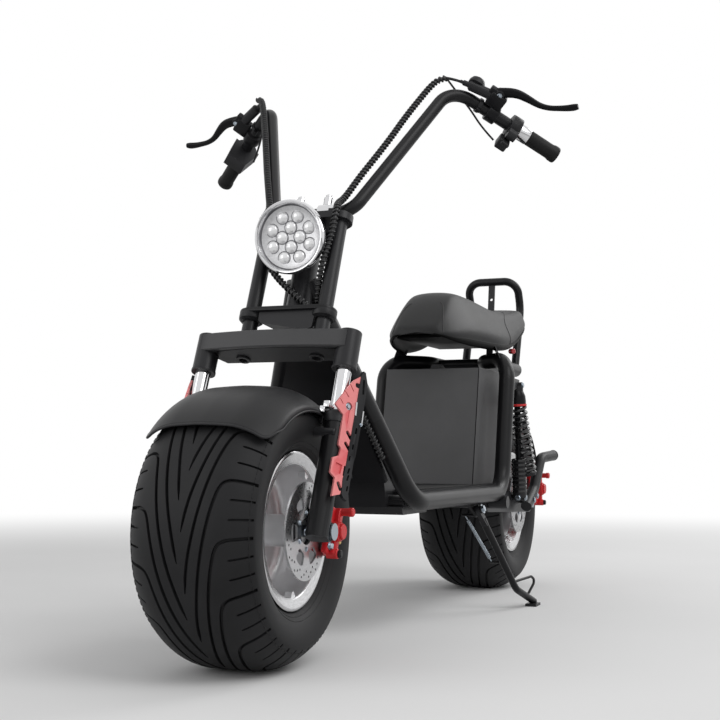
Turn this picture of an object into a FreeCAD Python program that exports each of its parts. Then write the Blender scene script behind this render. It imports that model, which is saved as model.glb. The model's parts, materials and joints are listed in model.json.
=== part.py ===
import FreeCAD, Part
import math
import os

import Sketcher

# A fat-tyre electric scooter with a seat.
# Row frame: +X forwards, +Y to the rider's left, +Z up, millimetres, origin on the ground
# midway between the axles. The steered pieces are drawn in the fork's own frame, where w runs
# up the steering axis and u points forwards, and STEER places them.

SIZES = [
    # alias, value in mm or degrees
    ("wheelbase", 1381), ("tyre_r", 228.5), ("tyre_half", 109.4), ("tyre_flat", 32),
    ("bead_r", 118), ("bead_half", 85), ("flange_rise", 13), ("flange_t", 6),
    ("axle_r", 10), ("bearing_gap", 0.1), ("hub_r", 28.5), ("hub_half", 100),
    ("motor_r", 98), ("motor_half", 72), ("disc_r", 81), ("disc_t", 3.6), ("disc_y", 107),
    ("rake", 22), ("axle_u", 36), ("leg_u", 54), ("leg_v", 137), ("tube_u", 36), ("tube_v", 72),
    ("leg_r", 19), ("leg_low", -18), ("leg_drop", 30.5), ("stanchion_r", 13.5),
    ("sleeve_r", 21), ("sleeve_low", 286), ("sleeve_top", 355), ("crown_low", 319),
    ("crown_top", 353), ("tube_r", 14), ("plate_low", 407), ("yoke_low", 604), ("plate_t", 6),
    ("plate_lip", 8), ("head_r", 23), ("stem_r", 15), ("head_gap", 3), ("bar_r", 12.7),
    ("grip_r", 16), ("frame_r", 19), ("frame_y", 160), ("rail_up", 35.5), ("seat_tube_y", 72),
    ("seat_tube_up", 359.5), ("pivot_ahead", 392.5), ("pivot_up", 13.5), ("pivot_r", 15),
    ("arm_in", 117), ("arm_out", 138), ("box_half", 118), ("box_up", 54.5), ("box_gap", 27),
    ("box_depth", 205), ("box_lean", 11.5), ("lamp_r", 67), ("lamp_u", 86), ("lamp_up", 34.5),
    ("lamp_depth", 48), ("lamp_tilt", 26), ("fender_gap", 8.5), ("fender_t", 3.5), ("rear_fender_gap", 11.5),
    ("spring_r", 22),
]

document = FreeCAD.newDocument("Scooter")
sheet = document.addObject("Spreadsheet::Sheet", "Sizes")
for row, (alias, value) in enumerate(SIZES, start=1):
    sheet.set("A%d" % row, alias)
    sheet.set("B%d" % row, str(value))
    sheet.setAlias("B%d" % row, alias)
document.recompute()


class Size:
    """A length with the sheet expression that it comes from."""

    def __init__(self, value, text):
        self.value = float(value)
        self.text = text

    def __float__(self):
        return self.value

    def __add__(self, other):
        other = as_size(other)
        return Size(self.value + other.value, "(%s + %s)" % (self.text, other.text))

    def __sub__(self, other):
        other = as_size(other)
        return Size(self.value - other.value, "(%s - %s)" % (self.text, other.text))

    def __mul__(self, other):
        other = as_size(other)
        return Size(self.value * other.value, "(%s * %s)" % (self.text, other.text))

    def __neg__(self):
        return Size(-self.value, "(0 - %s)" % self.text)


def as_size(number):
    return number if isinstance(number, Size) else Size(number, repr(float(number)))


class Sizes:
    """Every cell of the sheet, as Sizes, by its alias."""


mm = Sizes()
for alias, value in SIZES:
    setattr(mm, alias, Size(sheet.get(alias), "Sizes." + alias))
# the chassis hangs on the axles, the lamp sits between the plates, the fenders clear the tyres
mm.flange_r = mm.bead_r + mm.flange_rise
mm.leg_top = mm.tyre_r - mm.leg_drop
mm.rail_z = mm.tyre_r + mm.rail_up
mm.seat_tube_z = mm.tyre_r + mm.seat_tube_up
mm.pivot_x = mm.pivot_ahead - mm.wheelbase * 0.5
mm.pivot_z = mm.tyre_r + mm.pivot_up
mm.box_low = mm.tyre_r + mm.box_up
mm.box_top = mm.seat_tube_z - mm.box_gap
mm.lamp_w = (mm.plate_low + mm.yoke_low) * 0.5 + mm.lamp_up
mm.fender_r = mm.tyre_r + mm.fender_gap
mm.rear_fender_r = mm.tyre_r + mm.rear_fender_gap

PIECES = []


def vec(x, y, z):
    return FreeCAD.Vector(float(x), float(y), float(z))


AXLE_X = float(mm.wheelbase) / 2
RAKE = math.radians(float(mm.rake))
STEER = FreeCAD.Placement(
    vec(AXLE_X - float(mm.axle_u) * math.cos(RAKE), 0,
        float(mm.tyre_r) - float(mm.axle_u) * math.sin(RAKE)),
    FreeCAD.Rotation(vec(0, 1, 0), -float(mm.rake)))
FRONT_AXLE = FreeCAD.Placement(vec(AXLE_X, 0, mm.tyre_r), FreeCAD.Rotation())
REAR_AXLE = FreeCAD.Placement(vec(-AXLE_X, 0, mm.tyre_r), FreeCAD.Rotation())
HERE = FreeCAD.Placement()
DRAWN_X, DRAWN_Z = 690.5, 228.5


def rear_x(x):
    """An x drawn for a rear axle at -DRAWN_X, moved with the axle."""
    return x + DRAWN_X - AXLE_X


def front_x(x):
    """An x drawn for a front axle at DRAWN_X, moved with the axle."""
    return x - DRAWN_X + AXLE_X


def lift(z):
    """A height drawn for axles at DRAWN_Z, moved with the axles."""
    return z - DRAWN_Z + float(mm.tyre_r)


def rear(points):
    return [(rear_x(x), y, lift(z)) for x, y, z in points]


def front(points):
    return [(front_x(x), y, lift(z)) for x, y, z in points]


# Document helpers


def keep(obj, label, placement=HERE):
    """Names a finished sub-part and places it."""
    obj.Label = label
    obj.Placement = placement
    PIECES.append(obj)
    return obj


def feature(label, shape, placement=HERE):
    obj = document.addObject("Part::Feature", label)
    obj.Shape = shape
    return keep(obj, label, placement)


def new_body(label):
    return document.addObject("PartDesign::Body", label + "_body")


def set_size(obj, prop, size):
    size = as_size(size)
    setattr(obj, prop, size.value)
    obj.setExpression(prop, size.text)


def new_sketch(body, role, name, lift=None):
    """A sketch on one of the body's own origin planes, lifted along the plane's normal."""
    sketch = body.newObject("Sketcher::SketchObject", name)
    plane = [item for item in body.Origin.OriginFeatures if item.Role == role][0]
    sketch.AttachmentSupport = [(plane, "")]
    sketch.MapMode = "FlatFace"
    if lift is not None:
        sketch.AttachmentOffset = FreeCAD.Placement(vec(0, 0, lift), FreeCAD.Rotation())
        sketch.setExpression("AttachmentOffset.Base.z", as_size(lift).text)
    return sketch


def fix_point(sketch, index, end, x, y):
    for kind, size in (("DistanceX", as_size(x)), ("DistanceY", as_size(y))):
        number = sketch.addConstraint(Sketcher.Constraint(kind, index, end, size.value))
        sketch.setExpression("Constraints[%d]" % number, size.text)


def arc_through(start, middle, stop):
    """The anticlockwise arc through three points, and whether it runs from stop to start."""
    clockwise = (middle - start).cross(stop - middle).z < 0
    if clockwise:
        start, stop = stop, start
    centre = Part.Arc(start, middle, stop).toShape().Curve.Center
    radius = (start - centre).Length
    first = math.atan2(start.y - centre.y, start.x - centre.x)
    last = math.atan2(stop.y - centre.y, stop.x - centre.x)
    circle = Part.Circle(centre, vec(0, 0, 1), radius)
    return Part.ArcOfCircle(circle, first, last), clockwise


def outline(sketch, corners):
    """A closed outline through (x, y) corners; a third value marks a point that the arc
    from the corner before to the corner after passes through."""
    ends = [corner for corner in corners if len(corner) == 2]
    edges = []
    for number, corner in enumerate(corners):
        if len(corner) == 3:
            continue
        after = corners[(number + 1) % len(corners)]
        if len(after) == 3:
            stop = corners[(number + 2) % len(corners)]
            arc, clockwise = arc_through(vec(*corner, 0), vec(after[0], after[1], 0), vec(*stop, 0))
            index = sketch.addGeometry(arc, False)
            edges.append((index, 2 if clockwise else 1, 1 if clockwise else 2, arc.Radius))
        else:
            line = Part.LineSegment(vec(*corner, 0), vec(*after, 0))
            edges.append((sketch.addGeometry(line, False), 1, 2, None))
    for number, (index, start, stop, radius) in enumerate(edges):
        following = edges[(number + 1) % len(edges)]
        sketch.addConstraint(Sketcher.Constraint("Coincident", index, stop, following[0], following[1]))
        fix_point(sketch, index, start, *ends[number])
        if radius is not None:
            sketch.addConstraint(Sketcher.Constraint("Radius", index, radius))


def ring(sketch, x, y, radius):
    """A circle at (x, y)."""
    radius = as_size(radius)
    index = sketch.addGeometry(Part.Circle(vec(x, y, 0), vec(0, 0, 1), radius.value), False)
    fix_point(sketch, index, 3, x, y)
    number = sketch.addConstraint(Sketcher.Constraint("Radius", index, radius.value))
    sketch.setExpression("Constraints[%d]" % number, radius.text)


def pad(body, sketch, length):
    item = body.newObject("PartDesign::Pad", "Pad")
    item.Profile = sketch
    set_size(item, "Length", length)
    return item


def pocket(body, sketch, length):
    """A cut that runs along the sketch's normal."""
    item = body.newObject("PartDesign::Pocket", "Pocket")
    item.Profile = sketch
    set_size(item, "Length", length)
    item.Reversed = True
    return item


def revolve(body, sketch, axis="V_Axis", angle=360):
    item = body.newObject("PartDesign::Revolution", "Revolution")
    item.Profile = sketch
    item.ReferenceAxis = (sketch, [axis])
    item.Angle = angle
    return item


def circular(body, item, sketch, count):
    """Repeats a feature about the normal of its sketch."""
    pattern = body.newObject("PartDesign::PolarPattern", "Pattern")
    pattern.Originals = [item]
    pattern.Axis = (sketch, ["N_Axis"])
    pattern.Angle = 360
    pattern.Occurrences = count
    body.Tip = pattern
    return pattern


def turned(label, corners, placement):
    """A solid of revolution about Y, from (radius, y) corners."""
    body = new_body(label)
    sketch = new_sketch(body, "XY_Plane", label + "_section")
    outline(sketch, corners)
    revolve(body, sketch)
    document.recompute()
    return keep(body, label, placement)


# Shape helpers


def bend_radius(before, corner, after):
    """The largest even bend that two straight runs leave room for."""
    turn = math.pi - (before - corner).getAngle(after - corner)
    run = min((before - corner).Length, (after - corner).Length)
    return 0.45 * run / math.tan(turn / 2)


def bent_path(points, radii=None):
    """Straight runs joined by tangent arcs."""
    spots = [vec(*point) for point in points]
    edges = []
    last = spots[0]
    for number in range(1, len(spots) - 1):
        before, corner, after = spots[number - 1:number + 2]
        radius = radii[number - 1] if radii else bend_radius(before, corner, after)
        towards = (before - corner).normalize()
        onwards = (after - corner).normalize()
        half = towards.getAngle(onwards) / 2
        reach = float(radius) / math.tan(half)
        start, stop = corner + towards * reach, corner + onwards * reach
        bisector = (towards + onwards).normalize()
        middle = corner + bisector * (float(radius) / math.sin(half) - float(radius))
        if (start - last).Length > 1e-6:
            edges.append(Part.LineSegment(last, start).toShape())
        edges.append(Part.Arc(start, middle, stop).toShape())
        last = stop
    edges.append(Part.LineSegment(last, spots[-1]).toShape())
    return Part.Wire(edges)


def bent_tube(points, radius, radii=None):
    path = bent_path(points, radii)
    first = vec(*points[0])
    section = Part.Circle(first, vec(*points[1]) - first, float(radius)).toShape()
    return path.makePipeShell([Part.Wire([section])], True, True)


def rod(start, stop, radius):
    start, stop = vec(*start), vec(*stop)
    return Part.makeCylinder(float(radius), (stop - start).Length, start, stop - start)


def mirrored(shape):
    """The same shape on the other side of the bike."""
    return shape.mirror(vec(0, 0, 0), vec(0, 1, 0))


def both_sides(shape):
    return Part.Compound([shape, mirrored(shape)])


def prism(points, direction):
    """A flat polygon pushed along a direction."""
    corners = [vec(*point) for point in points]
    return Part.Face(Part.makePolygon(corners + corners[:1])).extrude(vec(*direction))


def hull_plate(discs, low, height):
    """A plate round a ring of discs (x, y, radius), given anticlockwise from above."""
    def on_rim(disc, angle):
        return vec(disc[0] + disc[2] * math.cos(angle), disc[1] + disc[2] * math.sin(angle), low)

    pairs = list(zip(discs, discs[1:] + discs[:1]))
    facings = []
    for (ax, ay, ar), (bx, by, br) in pairs:
        span = math.hypot(bx - ax, by - ay)
        facings.append(math.atan2(by - ay, bx - ax) - math.acos((ar - br) / span))
    edges = []
    for (disc, following), facing, after in zip(pairs, facings, facings[1:] + facings[:1]):
        turn = (after - facing) % (2 * math.pi)
        edges.append(Part.LineSegment(on_rim(disc, facing), on_rim(following, facing)).toShape())
        edges.append(Part.Arc(on_rim(following, facing), on_rim(following, facing + turn / 2),
                              on_rim(following, facing + turn)).toShape())
    return Part.Face(Part.Wire(edges)).extrude(vec(0, 0, height))


def cross_to_side(shape):
    """Turns a plate drawn in x, y into one in x, z whose thickness runs along +Y."""
    upright = shape.copy()
    upright.rotate(vec(0, 0, 0), vec(1, 0, 0), 90)
    return upright


def side_plate(discs, y_low, width):
    """A hull plate in the x, z plane between y_low and y_low + width."""
    plate = cross_to_side(hull_plate(discs, 0, width))
    plate.translate(vec(0, float(y_low) + width, 0))
    return plate


# Wheels


def tyre(label, placement):
    shoulder = mm.tyre_half
    turned(label, [
        (mm.bead_r, -mm.bead_half), (mm.flange_r, -mm.bead_half),
        (mm.tyre_r * 0.70, -shoulder * 0.975, "arc"), (mm.tyre_r * 0.83, -shoulder * 0.985),
        (mm.tyre_r * 0.955, -shoulder * 0.68, "arc"), (mm.tyre_r, -mm.tyre_flat),
        (mm.tyre_r, mm.tyre_flat),
        (mm.tyre_r * 0.955, shoulder * 0.68, "arc"), (mm.tyre_r * 0.83, shoulder * 0.985),
        (mm.tyre_r * 0.70, shoulder * 0.975, "arc"), (mm.flange_r, mm.bead_half),
        (mm.bead_r, mm.bead_half)], placement)


def front_wheel():
    tyre("front_tyre", FRONT_AXLE)
    bore = mm.axle_r + mm.bearing_gap
    edge = mm.bead_half + mm.flange_t
    deep = 12
    turned("front_rim", [
        (bore, -mm.hub_half), (mm.hub_r, -mm.hub_half), (mm.hub_r + 2, -deep - 14),
        (mm.hub_r + 24, -deep), (mm.bead_r - 22, -deep - 26, "arc"), (mm.bead_r - 8, -mm.bead_half),
        (mm.bead_r + 8, -edge), (mm.flange_r, -edge), (mm.flange_r, -mm.bead_half),
        (mm.bead_r, -mm.bead_half), (mm.bead_r, mm.bead_half),
        (mm.flange_r, mm.bead_half), (mm.flange_r, edge), (mm.bead_r + 8, edge),
        (mm.bead_r - 8, mm.bead_half), (mm.bead_r - 22, deep + 26, "arc"), (mm.hub_r + 24, deep),
        (mm.hub_r + 2, deep + 14), (mm.hub_r, mm.hub_half), (bore, mm.hub_half)], FRONT_AXLE)
    brake_disc("front_disc", mm.hub_half, FRONT_AXLE)


def rear_wheel():
    tyre("rear_tyre", REAR_AXLE)
    edge = mm.bead_half + mm.flange_t
    turned("rear_rim", [
        (mm.motor_r, -mm.motor_half + 14), (mm.bead_r - 8, -mm.bead_half), (mm.bead_r + 8, -edge),
        (mm.flange_r, -edge), (mm.flange_r, -mm.bead_half), (mm.bead_r, -mm.bead_half),
        (mm.bead_r, mm.bead_half), (mm.flange_r, mm.bead_half), (mm.flange_r, edge),
        (mm.bead_r + 8, edge), (mm.bead_r - 8, mm.bead_half), (mm.motor_r, mm.motor_half - 14)],
        REAR_AXLE)
    bore = mm.axle_r + mm.bearing_gap
    turned("motor_hub", [
        (bore, -mm.hub_half), (mm.hub_r, -mm.hub_half), (mm.hub_r, -mm.motor_half - 6),
        (mm.motor_r - 34, -mm.motor_half), (mm.motor_r - 6, -mm.motor_half + 4),
        (mm.motor_r, -mm.motor_half + 10), (mm.motor_r, mm.motor_half - 10),
        (mm.motor_r - 6, mm.motor_half - 4), (mm.motor_r - 34, mm.motor_half),
        (mm.hub_r, mm.motor_half + 6), (mm.hub_r, mm.hub_half), (bore, mm.hub_half)], REAR_AXLE)
    brake_disc("rear_disc", mm.hub_half, REAR_AXLE)


def brake_disc(label, face, placement):
    """A drilled disc with six windows, bolted on a carrier at the hub's left end."""
    body = new_body(label)
    blank = new_sketch(body, "XZ_Plane", label + "_blank", -(mm.disc_y + mm.disc_t * 0.5))
    ring(blank, 0, 0, mm.disc_r)
    ring(blank, 0, 0, mm.hub_r - 6)
    pad(body, blank, mm.disc_t)
    window = new_sketch(body, "XZ_Plane", label + "_window", -(mm.disc_y + mm.disc_t))
    outline(window, [(36, -9), (54, -15), (58, 0, "arc"), (54, 15), (36, 9)])
    cut = pocket(body, window, mm.disc_t * 2)
    document.recompute()
    circular(body, cut, window, 6)
    carrier = new_sketch(body, "XZ_Plane", label + "_carrier", -(mm.disc_y - mm.disc_t * 0.5))
    ring(carrier, 0, 0, mm.hub_r + 6)
    ring(carrier, 0, 0, mm.hub_r - 6)
    pad(body, carrier, mm.disc_y - mm.disc_t * 0.5 - face)
    document.recompute()
    keep(body, label, placement)


# Fork and steering


def clamp_plate(low, rear_r):
    """A three-lobed plate with its edge folded down, clamped on the fork's upper tubes."""
    tube_u, tube_v, tube_r = float(mm.tube_u), float(mm.tube_v), float(mm.tube_r)
    lobe, wall, low = tube_r + 9, 4, float(low)
    thick, lip = float(mm.plate_t), float(mm.plate_lip)
    discs = [(0, 0, rear_r), (tube_u, -tube_v, lobe), (tube_u, tube_v, lobe)]
    shape = hull_plate(discs, low - lip, thick + lip)
    hollow = hull_plate([(x, y, radius - wall) for x, y, radius in discs], low - lip, lip)
    shape = shape.cut(hollow)
    for side in (-1, 1):
        shape = shape.fuse(rod((tube_u, side * tube_v, low - lip), (tube_u, side * tube_v, low), tube_r + 4))
        hole = rod((tube_u, side * tube_v, low - lip), (tube_u, side * tube_v, low + thick), tube_r)
        shape = shape.cut(hole)
    return shape


def yokes():
    yoke = clamp_plate(mm.yoke_low, 30)
    stem_top = float(mm.yoke_low + mm.plate_t)
    stem = rod((0, 0, mm.yoke_low - mm.plate_lip), (0, 0, stem_top), mm.stem_r)
    feature("top_yoke", yoke.cut(stem), STEER)
    plate = clamp_plate(mm.plate_low, 26)
    foot = rod((0, 0, mm.plate_low - mm.plate_lip), (0, 0, mm.plate_low), mm.stem_r + 5)
    stem = rod((0, 0, mm.plate_low - mm.plate_lip), (0, 0, stem_top), mm.stem_r)
    cap = rod((0, 0, stem_top), (0, 0, stem_top + 6), mm.stem_r + 1)
    feature("lower_plate", plate.fuse([foot, stem, cap]).removeSplitter(), STEER)


def fork_crown():
    body = new_body("fork_crown")
    beam = new_sketch(body, "XY_Plane", "beam", mm.crown_low)
    inner, outer = mm.leg_v - 2, mm.leg_u + 7
    outline(beam, [
        (outer + 1, -inner), (outer + 16, 0, "arc"), (outer + 1, inner), (20, inner - 24),
        (20, -inner + 24)])
    pad(body, beam, mm.crown_top - mm.crown_low)
    for side in (1, -1):
        sleeve = new_sketch(body, "XY_Plane", "sleeve", mm.sleeve_low)
        ring(sleeve, mm.leg_u, mm.leg_v * side, mm.sleeve_r)
        pad(body, sleeve, mm.sleeve_top - mm.sleeve_low)
    bores = [
        # offset from the crown's middle, sketch height, depth, radius
        (mm.leg_u, mm.leg_v, mm.sleeve_low, mm.sleeve_top - mm.sleeve_low - 14, mm.stanchion_r),
        (mm.tube_u, mm.tube_v, mm.crown_low + 12, mm.crown_top - mm.crown_low, mm.tube_r),
        (mm.tube_u, mm.tube_v, mm.crown_low, as_size(12), mm.tube_r * 0.57)]
    for u, v, height, depth, radius in bores:
        for side in (1, -1):
            hole = new_sketch(body, "XY_Plane", "bore", height)
            ring(hole, u, v * side, radius)
            pocket(body, hole, depth)
    document.recompute()
    keep(body, "fork_crown", STEER)


def fork_legs():
    u, v = float(mm.leg_u), float(mm.leg_v)
    stanchion = rod((u, v, mm.leg_top - 60), (u, v, mm.sleeve_top - 14), mm.stanchion_r)
    feature("stanchions", both_sides(stanchion), STEER)
    leg = rod((u, v, mm.leg_low), (u, v, mm.leg_top), mm.leg_r)
    cap = rod((u, v, mm.leg_top - 16), (u, v, mm.leg_top), mm.leg_r + 1.5)
    boss = rod((mm.axle_u, v - 18, 0), (mm.axle_u, v + 13, 0), 17)
    leg = leg.fuse([cap, boss]).cut(stanchion)
    leg = leg.cut(rod((mm.axle_u, v - 20, 0), (mm.axle_u, v + 30, 0), mm.axle_r))
    leg = leg.cut(rod((mm.axle_u, v + 13, 0), (mm.axle_u, v + 30, 0), 16))
    feature("fork_legs", both_sides(leg.removeSplitter()), STEER)
    end = v + 13
    axle = rod((mm.axle_u, -end, 0), (mm.axle_u, end, 0), mm.axle_r)
    nuts = [rod((mm.axle_u, side * end, 0), (mm.axle_u, side * (end + 9), 0), 14) for side in (1, -1)]
    feature("front_axle", axle.fuse(nuts), STEER)


def front_fender():
    body = new_body("front_fender")
    section = new_sketch(body, "XY_Plane", "fender_section")
    inside, outside = mm.fender_r, mm.fender_r + mm.fender_t
    outline(section, [
        (inside - 33, -110), (inside - 13, -83, "arc"), (inside - 2.5, -50),
        (inside, 0, "arc"), (inside - 2.5, 50), (inside - 13, 83, "arc"), (inside - 33, 110),
        (outside - 35, 113.4), (outside - 13, 85.5, "arc"), (outside - 2.5, 51),
        (outside, 0, "arc"), (outside - 2.5, -51), (outside - 13, -85.5, "arc"),
        (outside - 35, -113.4)])
    revolve(body, section, angle=112)
    document.recompute()
    turn = FreeCAD.Placement(vec(0, 0, 0), FreeCAD.Rotation(vec(0, 1, 0), -156))
    body.Placement = FRONT_AXLE.multiply(turn)
    document.recompute()
    legs = [piece.Shape for piece in PIECES if piece.Label == "fork_legs"]
    inner, low, high = 113, float(mm.leg_top) - 15, float(mm.fender_r) - 21
    tab = prism([(44, inner, low), (64, inner, low), (68, inner, high), (40, inner, high)],
                (0, float(mm.leg_v - mm.leg_r) + 2 - inner, 0))
    tabs = both_sides(tab)
    tabs.Placement = STEER
    feature("front_fender", body.Shape.fuse(tabs.Solids).cut(legs).removeSplitter())


GUARD = [
    # u, w down the middle of the slotted rail
    (30, 290), (37, 132), (66, 50)]
GUARD_V, GUARD_HALF, GUARD_T = 166, 11, 4
CHEEKS = [
    # slant inwards per mm forwards, and s, w of each run's toothed edge, s from the rail's edge
    (1, [(5, 291), (22, 268), (46, 236), (50, 222), (36, 206), (25, 190), (33, 176), (40, 160), (25, 150),
         (21, 132)], [(29, 116), (40, 104), (33, 84), (18, 72), (10, 51)]),
    (-1, [(3, 291), (8, 260), (14, 240), (8, 222), (12, 190), (6, 172), (12, 150), (9, 132)],
     [(13, 110), (7, 90), (12, 74), (4, 51)])]


def guard_u(height, shift):
    """The rail's u at a height, shifted off its middle line."""
    (low_u, low_w), (high_u, high_w) = (GUARD[2], GUARD[1]) if height < GUARD[1][1] else (GUARD[1], GUARD[0])
    return low_u + (high_u - low_u) * (height - low_w) / (high_w - low_w) + shift


def fork_guards():
    """A slotted rail on stand-offs outside each fork leg, with toothed cheeks along its edges."""
    leg = rod((mm.leg_u, mm.leg_v, mm.leg_low), (mm.leg_u, mm.leg_v, mm.leg_top), mm.leg_r)
    heights = [height for _, height in GUARD]
    edge = [(guard_u(height, GUARD_HALF), GUARD_V, height) for height in heights]
    edge += [(guard_u(height, -GUARD_HALF), GUARD_V, height) for height in reversed(heights)]
    rail = prism(edge, (0, GUARD_T, 0))
    for height in range(66, 280, 26):
        slot = [rod((guard_u(spot, 0), GUARD_V, spot), (guard_u(spot, 0), GUARD_V + GUARD_T, spot), 3.5)
                for spot in (height - 4, height + 4)]
        rail = rail.cut(slot[0].fuse(slot[1]))
    posts = [rod((guard_u(height, 0), mm.leg_v, height), (guard_u(height, 0), GUARD_V, height), 6)
             for height in (float(mm.leg_low) + 122, float(mm.leg_top) - 30)]
    feature("fork_guards", both_sides(rail.fuse([post.cut(leg) for post in posts]).removeSplitter()), STEER)
    slant_u, slant_v = 0.9, 0.436
    plates = []
    for facing, upper, lower in CHEEKS:
        def spot(s, height):
            return (guard_u(height, facing * (GUARD_HALF + slant_u * s)), GUARD_V + GUARD_T - slant_v * s, height)

        depth = (facing * slant_v * GUARD_T * 0.8, slant_u * GUARD_T * 0.8, 0)
        high = [spot(-1, heights[0])] + [spot(*row) for row in upper] + [spot(-1, heights[1])]
        low = [spot(-1, heights[1]), spot(*upper[-1])] + [spot(*row) for row in lower] + [spot(-1, heights[2])]
        plates.append(prism(high, depth).fuse(prism(low, depth)).cut(rail).removeSplitter())
    feature("guard_cheeks", both_sides(Part.Compound(plates)), STEER)


# Handlebar, in the fork's frame: centre clamp corner, upper bend and grip end
BAR_ROOT = (13.5, 78, 631)
BAR_BEND = (-95, 203, 990)
BAR_END = (-268, 387, 924)


def bar_axis():
    return (vec(*BAR_END) - vec(*BAR_BEND)).normalize()


def on_bar(distance):
    """The bar's axis at a distance inwards from its end."""
    return vec(*BAR_END) - bar_axis() * distance


def bar_ring(inner, start, length, radius):
    along = bar_axis()
    spot = on_bar(start)
    ring_shape = Part.makeCylinder(float(radius), length, spot, along * -1)
    return ring_shape.cut(Part.makeCylinder(float(inner), length, spot, along * -1))


def handlebar():
    half = [BAR_ROOT, BAR_BEND, tuple(on_bar(4))]
    points = [(x, -y, z) for x, y, z in reversed(half)] + half
    radii = [60, 50, 50, 60]
    bar = bent_tube(points, mm.bar_r, radii)
    feature("handlebar", bar, STEER)
    root = vec(*BAR_ROOT)
    clamp = Part.makeCylinder(19, 24, vec(root.x, 17, root.z), vec(0, 1, 0))
    post = Part.makeBox(30, 24, root.z - float(mm.yoke_low + mm.plate_t),
                        vec(root.x - 15, 17, mm.yoke_low + mm.plate_t))
    clamp = clamp.fuse(post).cut(Part.makeCylinder(float(mm.bar_r), 30, vec(root.x, 14, root.z), vec(0, 1, 0)))
    feature("bar_clamps", both_sides(clamp.removeSplitter()), STEER)
    grip = Part.makeCylinder(float(mm.grip_r), 72, on_bar(0), bar_axis() * -1)
    grip = grip.cut(Part.makeCylinder(float(mm.bar_r), 72, on_bar(4), bar_axis() * -1))
    feature("grips", both_sides(grip), STEER)
    feature("grip_collars", both_sides(bar_ring(mm.bar_r, 72, 24, mm.grip_r + 1)), STEER)


def lever_frame():
    """Unit vectors of the lever: forwards and up from the bar's axis."""
    along = bar_axis()
    forwards = vec(1, 0, 0) - along * along.x
    forwards.normalize()
    upwards = vec(0, 0, 1) - along * along.z - forwards * forwards.z
    upwards.normalize()
    tilt = math.radians(35)
    return (forwards * math.cos(tilt) + upwards * math.sin(tilt),
            upwards * math.cos(tilt) - forwards * math.sin(tilt))


def controls():
    reach, rise = lever_frame()
    along = bar_axis()
    perch = bar_ring(mm.bar_r, 150, 26, 19)
    pivot = on_bar(152) + reach * 38
    arm = Part.makeCylinder(9, 24, on_bar(163) + reach * 15, reach)
    head = Part.makeBox(34, 28, 22, vec(-17, -14, -11))
    head.Placement = FreeCAD.Placement(pivot, FreeCAD.Rotation(along, rise, reach, "XZY"))
    stations = [
        # distance in from the bar's end, reach from the bar, radius
        (140, 40), (112, 58), (84, 72), (54, 92), (34, 113)]
    points = [tuple(on_bar(inward) + reach * out) for inward, out in stations]
    blade = bent_tube(points, 5.5)
    ball = Part.makeSphere(7, vec(*points[-1]))
    feature("brake_levers", both_sides(perch.fuse([arm, head, blade, ball]).removeSplitter()), STEER)
    pod = bar_ring(mm.bar_r, 98, 22, 24)
    bulge = Part.makeCylinder(12, 20, on_bar(99) - rise * 30, along * -1)
    left = pod.fuse(bulge)
    right = bar_ring(mm.bar_r, 98, 30, 24)
    wedge = prism([(-22, -16, -52), (22, -16, -52), (30, -16, 6), (-30, -16, 6)], (0, 30, 0))
    wedge.Placement = FreeCAD.Placement(on_bar(113), FreeCAD.Rotation(reach, along, rise, "XYZ"))
    wedge = wedge.cut(Part.makeCylinder(float(mm.bar_r), 80, on_bar(80), along * -1))
    right = mirrored(right.fuse(wedge).removeSplitter())
    feature("switch_pods", Part.Compound([left.removeSplitter(), right]), STEER)


def headlight():
    tilt = FreeCAD.Placement(vec(mm.lamp_u, 0, mm.lamp_w),
                             FreeCAD.Rotation(vec(0, 1, 0), 90 + float(mm.lamp_tilt)))
    place = STEER.multiply(tilt)
    body = new_body("headlight_shell")
    section = new_sketch(body, "XZ_Plane", "shell_section")
    outline(section, [
        (0, -mm.lamp_depth), (mm.lamp_r * 0.35, -mm.lamp_depth),
        (mm.lamp_r * 0.80, -mm.lamp_depth * 0.72, "arc"), (mm.lamp_r, -8), (mm.lamp_r, 3),
        (mm.lamp_r - 5, 5), (mm.lamp_r - 6, -8), (0, -8)])
    revolve(body, section)
    document.recompute()
    keep(body, "headlight_shell", place)
    body = new_body("headlight_lens")
    section = new_sketch(body, "XZ_Plane", "lens_section")
    outline(section, [(0, -8), (mm.lamp_r - 6, -8), (mm.lamp_r - 6, -2), (0, -2)])
    revolve(body, section)
    document.recompute()
    keep(body, "headlight_lens", place)
    bowl = PIECES[-2].Shape.copy()
    bowl.Placement = tilt
    back = tilt.multVec(vec(0, 0, -float(mm.lamp_depth) + 10))
    lug = rod((back.x - 6, 36, back.z), (back.x - 6, mm.tube_v, back.z), 6)
    tube = rod((mm.tube_u, mm.tube_v, mm.crown_low + 12),
               (mm.tube_u, mm.tube_v, mm.yoke_low + mm.plate_t + 2), mm.tube_r)
    feature("upper_tubes", both_sides(tube.fuse(lug.cut(bowl)).removeSplitter()), STEER)


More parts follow.
